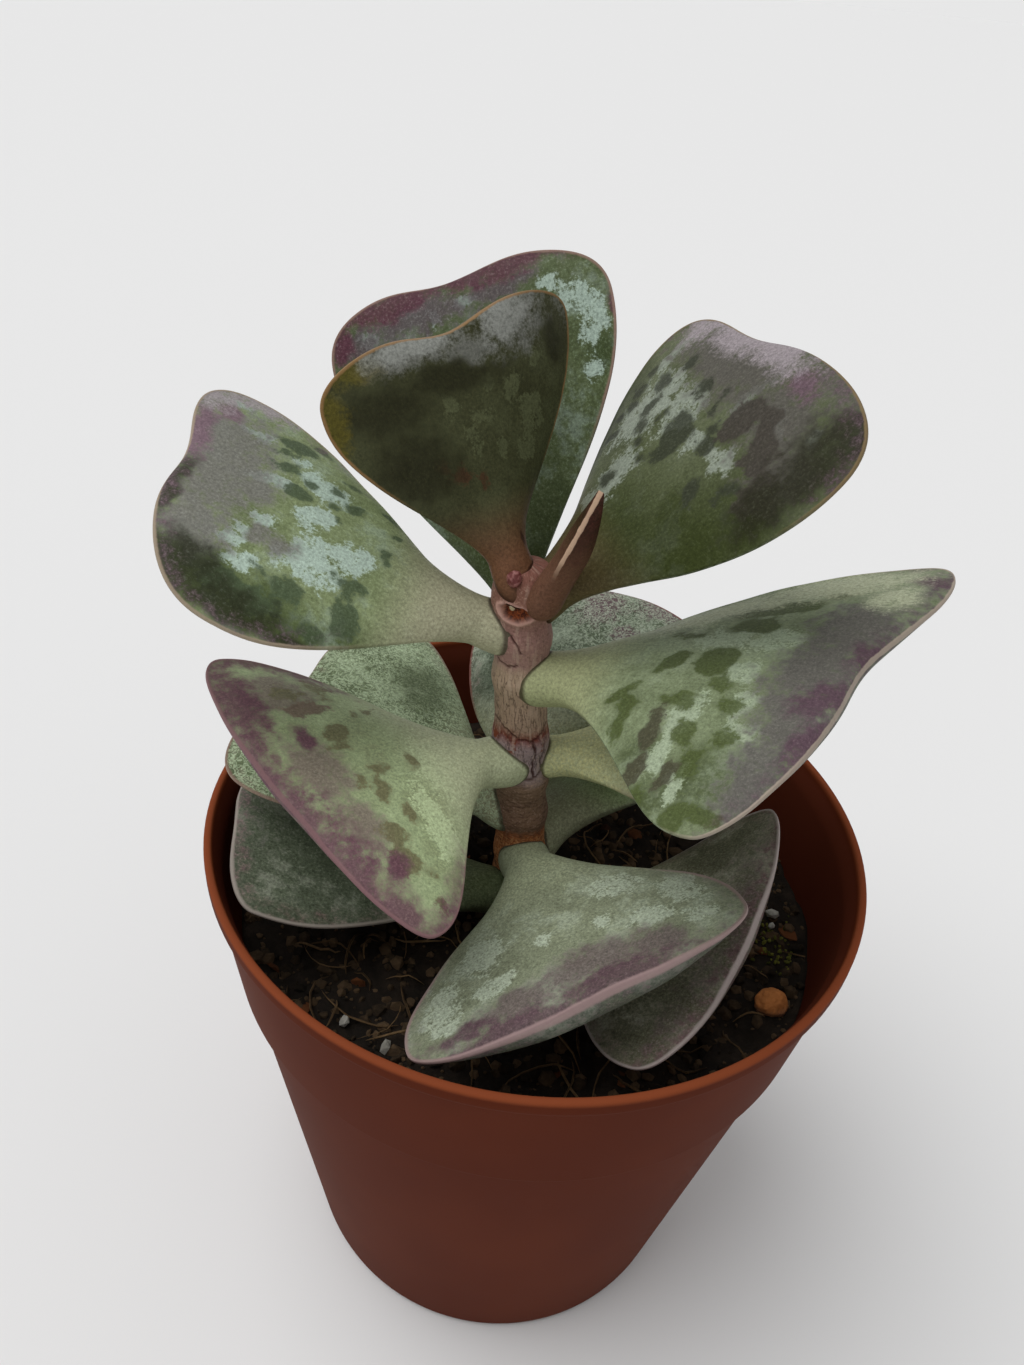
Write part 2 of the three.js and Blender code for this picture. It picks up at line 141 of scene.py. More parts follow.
class Finish:
    """A material in the making: each method adds one node and gives its output."""

    def __init__(self, name, roughness, specular=0.5):
        self.material = bpy.data.materials.new(name)
        self.material.use_nodes = True
        self.tree = self.material.node_tree
        self.shader = self.tree.nodes["Principled BSDF"]
        self.shader.inputs["Roughness"].default_value = roughness
        self.shader.inputs["Specular IOR Level"].default_value = specular

    def put(self, kind, inputs, **settings):
        node = self.tree.nodes.new(kind)
        for name, value in settings.items():
            setattr(node, name, value)
        for socket, value in inputs.items():
            if isinstance(value, bpy.types.NodeSocket):
                self.tree.links.new(value, node.inputs[socket])
            else:
                node.inputs[socket].default_value = value
        return node

    def place(self):
        """Object coordinates, in millimetres."""
        coordinates = self.put("ShaderNodeTexCoord", {}).outputs["Object"]
        scaled = self.put("ShaderNodeVectorMath", {0: coordinates, "Scale": 1 / MM}, operation="SCALE")
        return scaled.outputs["Vector"]

    def part(self, vector, axis):
        return self.put("ShaderNodeSeparateXYZ", {0: vector}).outputs[axis]

    def stretched(self, vector, scale):
        return self.put("ShaderNodeMapping", {"Vector": vector, "Scale": scale}).outputs["Vector"]

    def value(self, attribute):
        return self.put("ShaderNodeAttribute", {}, attribute_name=attribute).outputs["Fac"]

    def vector(self, attribute):
        return self.put("ShaderNodeAttribute", {}, attribute_name=attribute).outputs["Vector"]

    def noise(self, vector, scale, detail=2, roughness=0.5, distortion=0):
        inputs = {"Vector": vector, "Scale": scale, "Detail": detail, "Roughness": roughness,
                  "Distortion": distortion}
        return self.put("ShaderNodeTexNoise", inputs).outputs["Fac"]

    def share(self, value, low, high, least=0, most=1, curve="SMOOTHSTEP"):
        inputs = {"Value": value, "From Min": low, "From Max": high, "To Min": least, "To Max": most}
        return self.put("ShaderNodeMapRange", inputs, interpolation_type=curve).outputs["Result"]

    def crossing(self, value, width):
        """A thin line wherever a value crosses one half."""
        away = self.put("ShaderNodeMath", {0: self.sum(value, -0.5)}, operation="ABSOLUTE").outputs[0]
        return self.share(away, width, 0)

    def sum(self, first, second):
        return self.put("ShaderNodeMath", {0: first, 1: second}, operation="ADD").outputs[0]

    def times(self, value, *factors):
        for factor in factors:
            value = self.put("ShaderNodeMath", {0: value, 1: factor}, operation="MULTIPLY").outputs[0]
        return value

    def most(self, first, second):
        return self.put("ShaderNodeMath", {0: first, 1: second}, operation="MAXIMUM").outputs[0]

    def mix(self, share, first, second, blend="MIX"):
        inputs = {0: share, 6: first, 7: second}
        return self.put("ShaderNodeMix", inputs, data_type="RGBA", blend_type=blend).outputs[2]

    def steps(self, value, stops):
        """A ramp of colours, each at its share of the way."""
        ramp = self.put("ShaderNodeValToRGB", {0: value})
        points = ramp.color_ramp.elements
        for share, _ in stops[2:]:
            points.new(share)
        for point, (share, code) in zip(points, stops):
            point.position = share
            point.color = paint(code)
        return ramp.outputs["Color"]

    def bump(self, height, depth):
        """Raises the surface by the height's share of a depth in millimetres."""
        inputs = {"Height": height, "Distance": depth * MM, "Strength": 1.0}
        normal = self.shader.inputs["Normal"]
        if normal.is_linked:
            inputs["Normal"] = normal.links[0].from_socket
        self.tree.links.new(self.put("ShaderNodeBump", inputs).outputs["Normal"], normal)

    def colour(self, socket):
        """Makes a colour the one that the piece shows."""
        self.skin = socket
        self.tree.links.new(socket, self.shader.inputs["Base Color"])

    def tones(self, share, first, second):
        self.colour(self.mix(share, paint(first), paint(second)))

    def coat(self, share, code):
        """Lays one more colour over the piece, where a share says."""
        self.colour(self.mix(share, self.skin, paint(code)))

    def rough(self, socket):
        self.tree.links.new(socket, self.shader.inputs["Roughness"])


def inside_radius(height):
    """The radius of the pot's inner wall at a height."""
    if height < BAND_FOOT:
        outer = BASE_RADIUS + (BAND_FOOT_RADIUS - BAND_STEP - BASE_RADIUS) * height / BAND_FOOT
    else:
        flare = (RIM_RADIUS - BAND_FOOT_RADIUS) * (height - BAND_FOOT) / (POT_HEIGHT - BAND_FOOT)
        outer = BAND_FOOT_RADIUS + flare
    return outer - WALL


def pot_finish():
    """Matt plastic, a little duller inside the band, with a painted highlight on the thin top edge of the
    lip.
    """
    finish = Finish("pot_plastic", roughness=0.6, specular=0.03)
    place = finish.place()
    height = finish.part(place, "Z")
    finish.tones(finish.share(finish.noise(place, 0.07), 0.35, 0.7), "542311", "5a2713")
    outward = finish.put("ShaderNodeVectorMath", {0: finish.stretched(place, (1, 1, 0))}, operation="LENGTH")
    inward = finish.sum(outward.outputs["Value"], finish.times(height, -BAND_TAPER))
    inside = finish.share(inward, MID_WALL + 0.1, MID_WALL - 0.1)
    finish.coat(finish.times(inside, finish.share(height, BAND_FOOT, BAND_FOOT + 1)), "5f2d1e")
    # Painted highlight: the thin top edge of the lip is lighter, standing for light from above that catches
    # it and shines through the plastic.
    finish.coat(finish.share(height, POT_HEIGHT - 0.5, POT_HEIGHT - 0.1), "7e4026")
    finish.bump(finish.noise(place, 6), 0.003)
    return finish


pot_outline = filleted([
    (0, BASE_RECESS, 0),
    (RECESS_RADIUS - 0.5, BASE_RECESS, 0.3),
    (RECESS_RADIUS, 0, 0.2),
    (BASE_RADIUS, 0, BASE_ROUND),
    (BAND_FOOT_RADIUS - BAND_STEP, BAND_FOOT, 0.2),
    (BAND_FOOT_RADIUS, BAND_FOOT + 0.35, 0.25),
    (RIM_RADIUS - LIP_STEP, POT_HEIGHT - LIP_DEPTH, 0.2),
    (RIM_RADIUS + LIP_STEP, POT_HEIGHT - LIP_DEPTH + 0.4, 0.3),
    (RIM_RADIUS + LIP_OUTSIDE, POT_HEIGHT, LIP_RADIUS),
    (RIM_RADIUS - LIP_INSIDE, POT_HEIGHT, 0.2),
    (RIM_RADIUS - WALL - 0.15, POT_HEIGHT - LIP_INNER_DEPTH, 0.5),
    (inside_radius(BAND_FOOT + 1), BAND_FOOT + 1, 0.6),
    (inside_radius(BAND_FOOT - 1), BAND_FOOT - 1, 0.6),
    (inside_radius(POT_FLOOR), POT_FLOOR, 1.2),
    (0, POT_FLOOR, 0),
])
pot = piece_of(spun(pot_outline, POT_STEPS), "pot_cup", pot_finish())
drill = bmesh.new()
for hole in range(DRAIN_HOLES):
    turn = math.tau * (hole + 0.5) / DRAIN_HOLES
    spot = Vector((DRAIN_CIRCLE * math.cos(turn), DRAIN_CIRCLE * math.sin(turn), 0)) * MM
    bmesh.ops.create_cone(
        drill, cap_ends=True, segments=40, radius1=DRAIN_RADIUS * MM, radius2=DRAIN_RADIUS * MM,
        depth=DRILL_DEPTH * MM, matrix=Matrix.Translation(spot),
    )
drill_mesh = bpy.data.meshes.new("drill")
drill.to_mesh(drill_mesh)
drill.free()
drill_bits = bpy.data.objects.new("drill", drill_mesh)
scene.collection.objects.link(drill_bits)
drain = pot.modifiers.new("drain", "BOOLEAN")
drain.object = drill_bits
drain.solver = "EXACT"
drilled = bpy.data.meshes.new_from_object(pot.evaluated_get(bpy.context.evaluated_depsgraph_get()))
pot.modifiers.clear()
pot.data = drilled
bpy.data.objects.remove(drill_bits)
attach(pot, "root")
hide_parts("pot")


# The soil is dark peat, filled to a centimetre under the rim and hollowed a little round
# the stem. On it lie crumbs, fine root fibres, chips of bark, grains of perlite and a few
# granules with moss on them.
STEM_FOOT_X = -0.8
STEM_FOOT_HEIGHT = 41.7
STEM_LEAN = -0.084
SOIL_LEVEL = 41.1
SOIL_RELIEF = 0.35
SLOW_WAVE = 0.55
QUICK_WAVE = 0.8
DISH_RADIUS = 8
DISH_FLOOR_RADIUS = 3.2
DISH_DEPTH = 1.1
COARSE_CLODS = 0.45
FINE_CLODS = 0.28
SURFACE_RINGS = 70
SURFACE_STEPS = 200
SOIL_SEED = 5
SCOOP = 40
RUGGEDNESS = 0.22
CRUMBS = 2600
SMALLEST_CRUMB = 0.16
CRUMB_RANGE = 0.6
BARK_CHIPS = 46
PERLITE_GRAINS = (
    ((22.3, 0.6, 42.0), 0.55), ((22.0, -0.9, 42.0), 0.4), ((18.4, 6.5, 41.6), 0.35),
    ((-12.9, -16.8, 41.4), 0.5), ((-9.3, -18.5, 41.4), 0.55), ((3.4, -21.2, 41.5), 0.3),
)
MOSS_GRANULES = 70
MOSS_X = 22.4
MOSS_Y = -2.6
MOSS_RISE = 0.25
MOSS_REACH = 24.6
FIBRES = 160
FIBRE_REACH = 0.93
FIBRE_RISE = 0.15
FIBRE_MARGIN = 0.4


def smooth_step(value, low, high):
    share = np.clip((value - low) / (high - low), 0, 1)
    return share * share * (3 - 2 * share)


def stem_x(height):
    """Where the leaning stem's middle is at a height."""
    return STEM_FOOT_X + STEM_LEAN * (height - STEM_FOOT_HEIGHT)


def soil_height(x, y):
    """The height of the soil: slow waves, the dish round the stem, and the clods of the peat."""
    waves = math.sin(SLOW_WAVE * x + 1) * math.cos(SLOW_WAVE * y) + 0.5 * math.sin(QUICK_WAVE * (x + y))
    dish = 1 - smooth_step(math.hypot(x - stem_x(SOIL_LEVEL), y), DISH_FLOOR_RADIUS, DISH_RADIUS)
    coarse = noise.noise(Vector((x * 0.6, y * 0.6, 1)))
    fine = noise.noise(Vector((x * 1.9, y * 1.9, 7)))
    clods = COARSE_CLODS * coarse + FINE_CLODS * fine
    return SOIL_LEVEL + SOIL_RELIEF * waves * (1 - dish) - DISH_DEPTH * dish + clods


def soil_finish(name, dark, light):
    """Peat: near black where it is damp, with paler dust; each crumb has a shade of its own."""
    finish = Finish(name, roughness=0.95, specular=0.25)
    place = finish.place()
    damp = finish.noise(place, 0.5, detail=6, roughness=0.7)
    shade = finish.sum(finish.times(damp, 0.7), finish.times(finish.value("shade"), 0.45))
    finish.tones(finish.share(shade, 0.3, 0.85), dark, light)
    finish.bump(finish.noise(place, 2.5, detail=6, roughness=0.75), 0.3)
    return finish


def give_values(piece, values):
    """Stores numbers on a piece's vertices, for its finish to read."""
    for name, numbers in values.items():
        threefold = np.ndim(numbers) == 2
        mark = piece.data.attributes.new(name, "FLOAT_VECTOR" if threefold else "FLOAT", "POINT")
        mark.data.foreach_set("vector" if threefold else "value", np.ravel(numbers).astype(float))


wall_radius = inside_radius(SOIL_LEVEL)
soil_outline = [
    Vector((wall_radius * ring / SURFACE_RINGS, SOIL_LEVEL)) for ring in range(SURFACE_RINGS + 1)
]
soil_outline += [
    Vector((inside_radius(BAND_FOOT) - 0.3, BAND_FOOT)),
    Vector((inside_radius(POT_FLOOR) - 0.9, POT_FLOOR + 0.6)),
    Vector((0, POT_FLOOR + 0.6)),
]
soil_shape = spun(soil_outline, SURFACE_STEPS)
for vert in soil_shape.verts:
    if vert.co.z > (SOIL_LEVEL - 0.1) * MM:
        vert.co.z = soil_height(vert.co.x / MM, vert.co.y / MM) * MM
soil = piece_of(soil_shape, "soil_body", soil_finish("potting_mix", "1e1914", "4e4034"), crease=180)
give_values(soil, {"shade": [0.2] * len(soil.data.vertices)})
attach(soil, "root")
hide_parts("soil")

luck = random.Random(SOIL_SEED)


def spot_on_soil(reach=0.985):
    """A place on the soil, found by luck, with the height of the surface there."""
    turn = luck.uniform(0, math.tau)
    radius = wall_radius * reach * math.sqrt(luck.random())
    x, y = radius * math.cos(turn), radius * math.sin(turn)
    return x, y, soil_height(x, y)


def heap(name, add, count, finish, crease):
    """One piece of many small ones, each in its own shade, gathered by scoops to save time."""
    pile = bmesh.new()
    shades = []
    for start in range(0, count, SCOOP):
        scoop = bmesh.new()
        for index in range(start, min(start + SCOOP, count)):
            verts = add(scoop, index)
            shades.extend([luck.random()] * len(verts))
        scoop_mesh = bpy.data.meshes.new("scoop")
        scoop.to_mesh(scoop_mesh)
        scoop.free()
        pile.from_mesh(scoop_mesh)
        bpy.data.meshes.remove(scoop_mesh)
    bmesh.ops.recalc_face_normals(pile, faces=pile.faces)
    piece = piece_of(pile, name, finish, crease)
    give_values(piece, {"shade": shades})
    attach(piece, "root")
    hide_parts("soil")


def lumps(name, places, sizes, finish, flatness=1.0):
    """One piece of many rough lumps of twenty faces."""

    def add_lump(scoop, index):
        axis = Vector((luck.uniform(-1, 1), luck.uniform(-1, 1), 1))
        turn = Matrix.Rotation(luck.uniform(0, math.tau), 4, axis)
        long, wide, tall = luck.uniform(0.8, 1.3), luck.uniform(0.6, 1.0), luck.uniform(0.6, 1)
        middle = Vector(places[index]) * MM
        matrix = Matrix.Translation(middle) @ turn @ Matrix.Diagonal((long, wide, flatness * tall, 1))
        made = bmesh.ops.create_icosphere(scoop, subdivisions=1, radius=sizes[index] * MM, matrix=matrix)
        for vert in made["verts"]:
            vert.co = middle + (vert.co - middle) * luck.uniform(1 - RUGGEDNESS, 1 + RUGGEDNESS)
        return made["verts"]

    heap(name, add_lump, len(places), finish, crease=30)


crumb_places = [spot_on_soil() for _ in range(CRUMBS)]
crumb_sizes = [SMALLEST_CRUMB + CRUMB_RANGE * luck.random() ** 3 for _ in crumb_places]
lumps("soil_crumbs", crumb_places, crumb_sizes, soil_finish("crumb_peat", "1f1a13", "6b563f"))

chip_places = [spot_on_soil() for _ in range(BARK_CHIPS)]
chip_sizes = [luck.uniform(0.35, 0.95) for _ in chip_places]
lumps("bark_chips", chip_places, chip_sizes, soil_finish("bark_chip", "3b2214", "7a4a2a"), flatness=0.45)

perlite_places, perlite_sizes = zip(*PERLITE_GRAINS)
lumps("perlite_grains", perlite_places, perlite_sizes, soil_finish("perlite", "8d8a80", "d9d6cc"))

moss_spots = [(MOSS_X + luck.gauss(0, 1.1), MOSS_Y + luck.gauss(0, 1.8)) for _ in range(MOSS_GRANULES)]
moss_places = [
    (x, y, soil_height(x, y) + MOSS_RISE) for x, y in moss_spots if math.hypot(x, y) < MOSS_REACH
]
moss_sizes = [luck.uniform(0.1, 0.26) for _ in moss_places]
lumps("moss_granules", moss_places, moss_sizes, soil_finish("moss", "3b3f16", "8a8a3c"))


def add_fibre(scoop, _):
    """Adds one limp thread that lies over the soil and lifts a little between its ends."""
    start = spot_on_soil(FIBRE_REACH)
    length, thickness = luck.uniform(1.5, 7), luck.uniform(0.05, 0.13)
    turn, curl, lift = luck.uniform(0, math.tau), luck.uniform(-1.2, 1.2), luck.uniform(0.1, 0.9)
    farthest = wall_radius - FIBRE_MARGIN
    made = bmesh.ops.create_uvsphere(scoop, u_segments=5, v_segments=9, radius=1)
    for vert in made["verts"]:
        share = (1 - vert.co.z) / 2
        heading = turn + curl * share
        x = start[0] + length * share * math.cos(heading)
        y = start[1] + length * share * math.sin(heading)
        reach = math.hypot(x, y)
        if reach > farthest:
            x, y = x * farthest / reach, y * farthest / reach
        height = soil_height(x, y) + FIBRE_RISE + lift * math.sin(math.pi * share)
        aside, above = thickness * vert.co.x, thickness * vert.co.y
        vert.co = Vector((x + aside * math.sin(heading), y - aside * math.cos(heading), height + above)) * MM
    return made["verts"]


heap("root_fibres", add_fibre, FIBRES, soil_finish("root_fibre", "3a2b1d", "8f7350"), crease=180)


# The pebble is one brown stone, half sunk in the soil by the wall: rusty above and paler below.
PEBBLE_RADII = (1.5, 1.2, 1.1)
PEBBLE_PLACE = Vector((21.3, -9.2, 41.7))
PEBBLE_TURN = 30
BROAD_DENTS = 0.16


def pebble_finish():
    finish = Finish("pebble_stone", roughness=0.85, specular=0.3)
    place = finish.place()
    grain = finish.noise(place, 1.4, detail=5, roughness=0.65)
    rust = finish.share(finish.sum(finish.part(place, "Z"), finish.times(grain, 2.0)), 42.2, 43.2)
    finish.tones(finish.share(grain, 0.35, 0.7), "8a634a", "c49c80")
    finish.coat(rust, "cf8348")
    finish.bump(grain, 0.25)
    return finish


def dented_ball(radii, stance, rate, fine, subdivisions):
    """A ball of three radii with broad dents, at a rate, and fine ones, of a depth."""
    shape = bmesh.new()
    bmesh.ops.create_icosphere(shape, subdivisions=subdivisions, radius=1)
    for vert in shape.verts:
        dents = 1 + BROAD_DENTS * noise.noise(vert.co * rate) + fine * noise.noise(vert.co * 4)
        vert.co = stance @ (Vector(a * b for a, b in zip(vert.co, radii)) * dents * MM)
    return shape


pebble_stance = Matrix.Translation(PEBBLE_PLACE * MM) @ Matrix.Rotation(math.radians(PEBBLE_TURN), 4, "Z")
pebble_shape = dented_ball(PEBBLE_RADII, pebble_stance, rate=1.3, fine=0.06, subdivisions=5)
pebble = piece_of(pebble_shape, "pebble_stone", pebble_finish(), crease=180)
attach(pebble, "root")
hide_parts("pebble")


# The stem is bare and woody: pink-brown and smooth by the tip, where a leaf has left its scar, then
# grey bark with fine cracks, and a ragged ring of orange cork low down. It swells at each node.
STEM_BOTTOM = 27
STEM_TOP = 75.2
STEM_RADIUS = 2.1
STEM_BASE_SWELL = 0.3
STEM_BASE_LENGTH = 5
NODE_HEIGHTS = (44, 46.4, 51, 54.8, 59, 64.8, 68.6, 71.6)
NODE_SWELL = 0.28
NODE_LENGTH = 1.1
CROWN_FOOT = 70.5
CROWN_FULL = 73
CROWN_BULGE = 0.34
CROWN_TURN = -20
TIP_DOME = 2
FOOT_CLOSES = 20
TIP_CLOSES = 90
STEM_RINGS = 340
STEM_AROUND = 120
CRACKS = (
    ((-3.0, 68.8), (-2.6, 69.1), (-1.46, 69.8), (-0.6, 69.4), (-0.1, 69.0), (0.2, 68.2)),
    ((-3.3, 67.2), (-1.46, 66.9), (-0.8, 66.75), (-0.1, 66.9)),
    ((-3.2, 61.3), (-1.9, 61.0), (-0.8, 60.6), (0.05, 60.0), (0.95, 59.9), (1.75, 60.4), (3.0, 60.9)),
    ((-1.0, 56.6), (-0.1, 56.2), (0.65, 56.1), (1.5, 56.2), (2.3, 56.6), (3.4, 57.3)),
    ((1.2, 59.8), (1.3, 58.2), (1.2, 56.3)),
    ((2.1, 59.4), (2.0, 57.6), (2.2, 56.7)),
)
CRACK_WIDTH = 0.13
CRACK_DEPTH = 0.12
SCAR_PLACE = (-0.3, 71.85)
SCAR_HALF_WIDTH = 1.15
SCAR_ABOVE = 0.45
SCAR_BELOW = 1.0
SCAR_DEPTH = 0.5
SCAR_LIP_RISE = 0.14
BARK_ZONES = (
    (0.0, "54361f"), (0.15, "7c4c2b"), (0.19, "a8683c"), (0.265, "9a5c36"), (0.285, "745846"),
    (0.42, "7e6652"), (0.46, "a08f90"), (0.53, "998686"), (0.555, "6e3226"), (0.58, "9c8470"),
    (0.72, "a8927a"), (0.75, "98786e"), (0.83, "8e6a62"), (0.87, "8a6658"), (0.93, "7a5244"),
    (1.0, "8a584e"),
)


def stem_radius(height):
    base = 1 - smooth_step(height, STEM_FOOT_HEIGHT, STEM_FOOT_HEIGHT + STEM_BASE_LENGTH)
    nodes = sum(math.exp(-(((height - node) / NODE_LENGTH) ** 2)) for node in NODE_HEIGHTS)
    dome = math.sqrt(max(0, 1 - max(0, (height - STEM_TOP + TIP_DOME) / TIP_DOME) ** 2))
    return (STEM_RADIUS + STEM_BASE_SWELL * base + NODE_SWELL * nodes) * dome


def crack_distance(around, height):
    """How far a place on the bark lies from the nearest crack, in millimetres."""
    nearest = math.inf
    spot = Vector((around, height))
    for crack in CRACKS:
        for start, end in zip(crack, crack[1:]):
            run = Vector(end) - Vector(start)
            share = max(0, min(1, (spot - Vector(start)).dot(run) / run.length_squared))
            nearest = min(nearest, (spot - Vector(start) - share * run).length)
    return nearest


def scar_share(around, height):
    """How far out of the scar's middle a place lies: 1 at its lip. It is flat above, round below."""
    rise = height - SCAR_PLACE[1]
    reach = SCAR_ABOVE if rise > 0 else SCAR_BELOW
    return math.hypot((around - SCAR_PLACE[0]) / SCAR_HALF_WIDTH, rise / reach)


def stem_finish():
    """Bark in zones by height, with fine upright cracks above, level ones below, and the scar."""
    finish = Finish("stem_bark", roughness=0.75, specular=0.25)
    place = finish.vector("bark_place")
    height = finish.share(finish.part(place, "Z"), 40, 76, curve="LINEAR")
    drift = finish.noise(place, 0.9, detail=4, roughness=0.65)
    zone = finish.sum(height, finish.times(finish.sum(drift, -0.5), 0.045))
    finish.colour(finish.steps(zone, BARK_ZONES))
    upright = finish.noise(finish.stretched(place, (1, 1, 0.14)), 2.6, detail=4, roughness=0.6)
    level = finish.noise(finish.stretched(place, (0.3, 0.3, 1.3)), 1.8, detail=4, roughness=0.6)
    high = finish.share(zone, 0.44, 0.47)
    smooth_skin = finish.share(zone, 0.74, 0.7)
    grain = finish.noise(place, 4.5, detail=3, roughness=0.65)
    finish.coat(finish.times(finish.share(upright, 0.52, 0.66), high, 0.3), "c0ab98")
    finish.coat(finish.share(grain, 0.52, 0.7, 0, 0.4), "c0a08c")
    finish.coat(finish.share(grain, 0.46, 0.3, 0, 0.5), "4a3024")
    fine = finish.times(finish.crossing(upright, 0.035), high, smooth_skin)
    fine_level = finish.times(finish.crossing(level, 0.035), finish.share(zone, 0.45, 0.42))
    finish.coat(finish.times(finish.most(fine, fine_level), 0.7), "301d17")
    rusty = finish.times(finish.share(zone, 0.6, 0.54), finish.share(zone, 0.5, 0.54))
    finish.coat(finish.times(finish.share(drift, 0.56, 0.62), rusty), "7a3a20")
    finish.coat(finish.times(finish.share(grain, 0.45, 0.6), finish.share(zone, 0.27, 0.25), 0.6), "cf9560")
    finish.coat(finish.value("lip"), "c0978a")
    hollow = finish.mix(finish.share(grain, 0.4, 0.6), paint("3d1709"), paint("8a4520"))
    finish.colour(finish.mix(finish.value("scar"), finish.skin, hollow))
    finish.coat(finish.times(finish.value("crack"), 0.9), "38160f")
    finish.bump(grain, 0.08)
    finish.bump(finish.times(upright, high), 0.2)
    finish.bump(level, 0.08)
    return finish


stem_shape = bmesh.new()
bmesh.ops.create_uvsphere(stem_shape, u_segments=STEM_AROUND, v_segments=STEM_RINGS, radius=1)
stem_values = {"bark_place": [], "crack": [], "scar": [], "lip": []}
for vert in stem_shape.verts:
    share = math.acos(max(-1, min(1, -vert.co.z))) / math.pi
    height = STEM_BOTTOM + (STEM_TOP - STEM_BOTTOM) * share
    turn = math.atan2(vert.co.y, vert.co.x)
    on_wall = Vector((math.cos(turn), math.sin(turn), 0)) * STEM_RADIUS
    soft = noise.noise(Vector((on_wall.x, on_wall.y, height * 0.35)))
    quick = noise.noise(Vector((on_wall.x * 2, on_wall.y * 2, height * 1.4)))
    around = STEM_RADIUS * math.atan2(on_wall.x, -on_wall.y) + 0.25 * quick
    crack = float(smooth_step(crack_distance(around, height + 0.3 * soft), CRACK_WIDTH, 0.3 * CRACK_WIDTH))
    out = scar_share(around, height)
    scar = float(smooth_step(out, 1.05, 0.85))
    lip = math.exp(-(((out - 1.15) / 0.16) ** 2))
    crown_side = max(0, math.cos(turn - math.radians(CROWN_TURN)))
    bulge = 1 + CROWN_BULGE * crown_side * smooth_step(height, CROWN_FOOT, CROWN_FULL)
    radius = stem_radius(height) * bulge + 0.1 * soft + 0.04 * quick
    radius += SCAR_LIP_RISE * lip - SCAR_DEPTH * scar - CRACK_DEPTH * crack
    radius *= min(1, share * FOOT_CLOSES, (1 - share) * TIP_CLOSES)
    for name, value in zip(stem_values, ((on_wall.x, on_wall.y, height), crack, scar, lip)):
        stem_values[name].append(value)
    vert.co = Vector((stem_x(height) + radius * math.cos(turn), radius * math.sin(turn), height)) * MM
bmesh.ops.recalc_face_normals(stem_shape, faces=stem_shape.faces)
stem = piece_of(stem_shape, "stem_trunk", stem_finish(), crease=180)
give_values(stem, stem_values)
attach(stem, "root")
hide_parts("stem")


# The tip bud is a small pink nub that shows between the youngest leaves, and a cream crumb of
# dried sap sits in the scar below it.
BUD_RADII = (0.55, 0.5, 0.65)
BUD_PLACE = Vector((-3.9, -2.1, 74.4))
CRUMB_RADII = (0.26, 0.22, 0.36)
CRUMB_PLACE = Vector((-3.85, -1.85, 72.0))


def nub(name, radii, place, dark, light):
    """A small dented nub of the stem, in two shades."""
    finish = Finish(name, roughness=0.5, specular=0.3)
    spots = finish.noise(finish.place(), 2.2, detail=4)
    finish.tones(finish.share(spots, 0.4, 0.65), dark, light)
    finish.bump(spots, 0.1)
    shape = dented_ball(radii, Matrix.Translation(place * MM), rate=1.6, fine=0.08, subdivisions=4)
    piece = piece_of(shape, name, finish, crease=180)
    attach(piece, "root")
    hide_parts("stem")


nub("tip_bud", BUD_RADII, BUD_PLACE, "66302e", "94625e")
nub("scar_crumb", CRUMB_RADII, CRUMB_PLACE, "b8a888", "e8e0c8")


# The leaves are thick, waxy hearts, each on a round stalk that grows straight out of the stem.
# The blade is a lens with a fine raised bead round its edge, green under a mint bloom, with dark
# blots, a smoky purple end and fine pores. Some blades carry painted shade on their lower sides
# and painted highlights and reflections near their top edges.
FOOT_SWELL = 0.1
FOOT_LENGTH = 1.6
STALK_FLATNESS = 0.95
FLANKS_OPEN = 0.55
THICKEST = 0.55
THINS_FROM = 0.45
END_THINNING = 0.5
END_BLUNTNESS = 0.6
EDGE_SHARPNESS = 0.72
NOTCH_WIDTH = 0.36
LEAF_FORM = {
    "aside": 0, "back": 0, "roll": 0, "bend": 5, "twist": 0, "sway": 0, "length": 25, "width": 26,
    "thick": 4.2, "belly": 0.25, "stalk": 5, "stalk_width": 4.2, "widest": 0.73,
    "left_corner": 2.6, "right_corner": 2.5, "left_flare": 1.3, "right_flare": 1.4,
    "lopsided": 0, "notch": 1.2, "notch_at": 0.1, "slant": 0, "cup": 0,
}
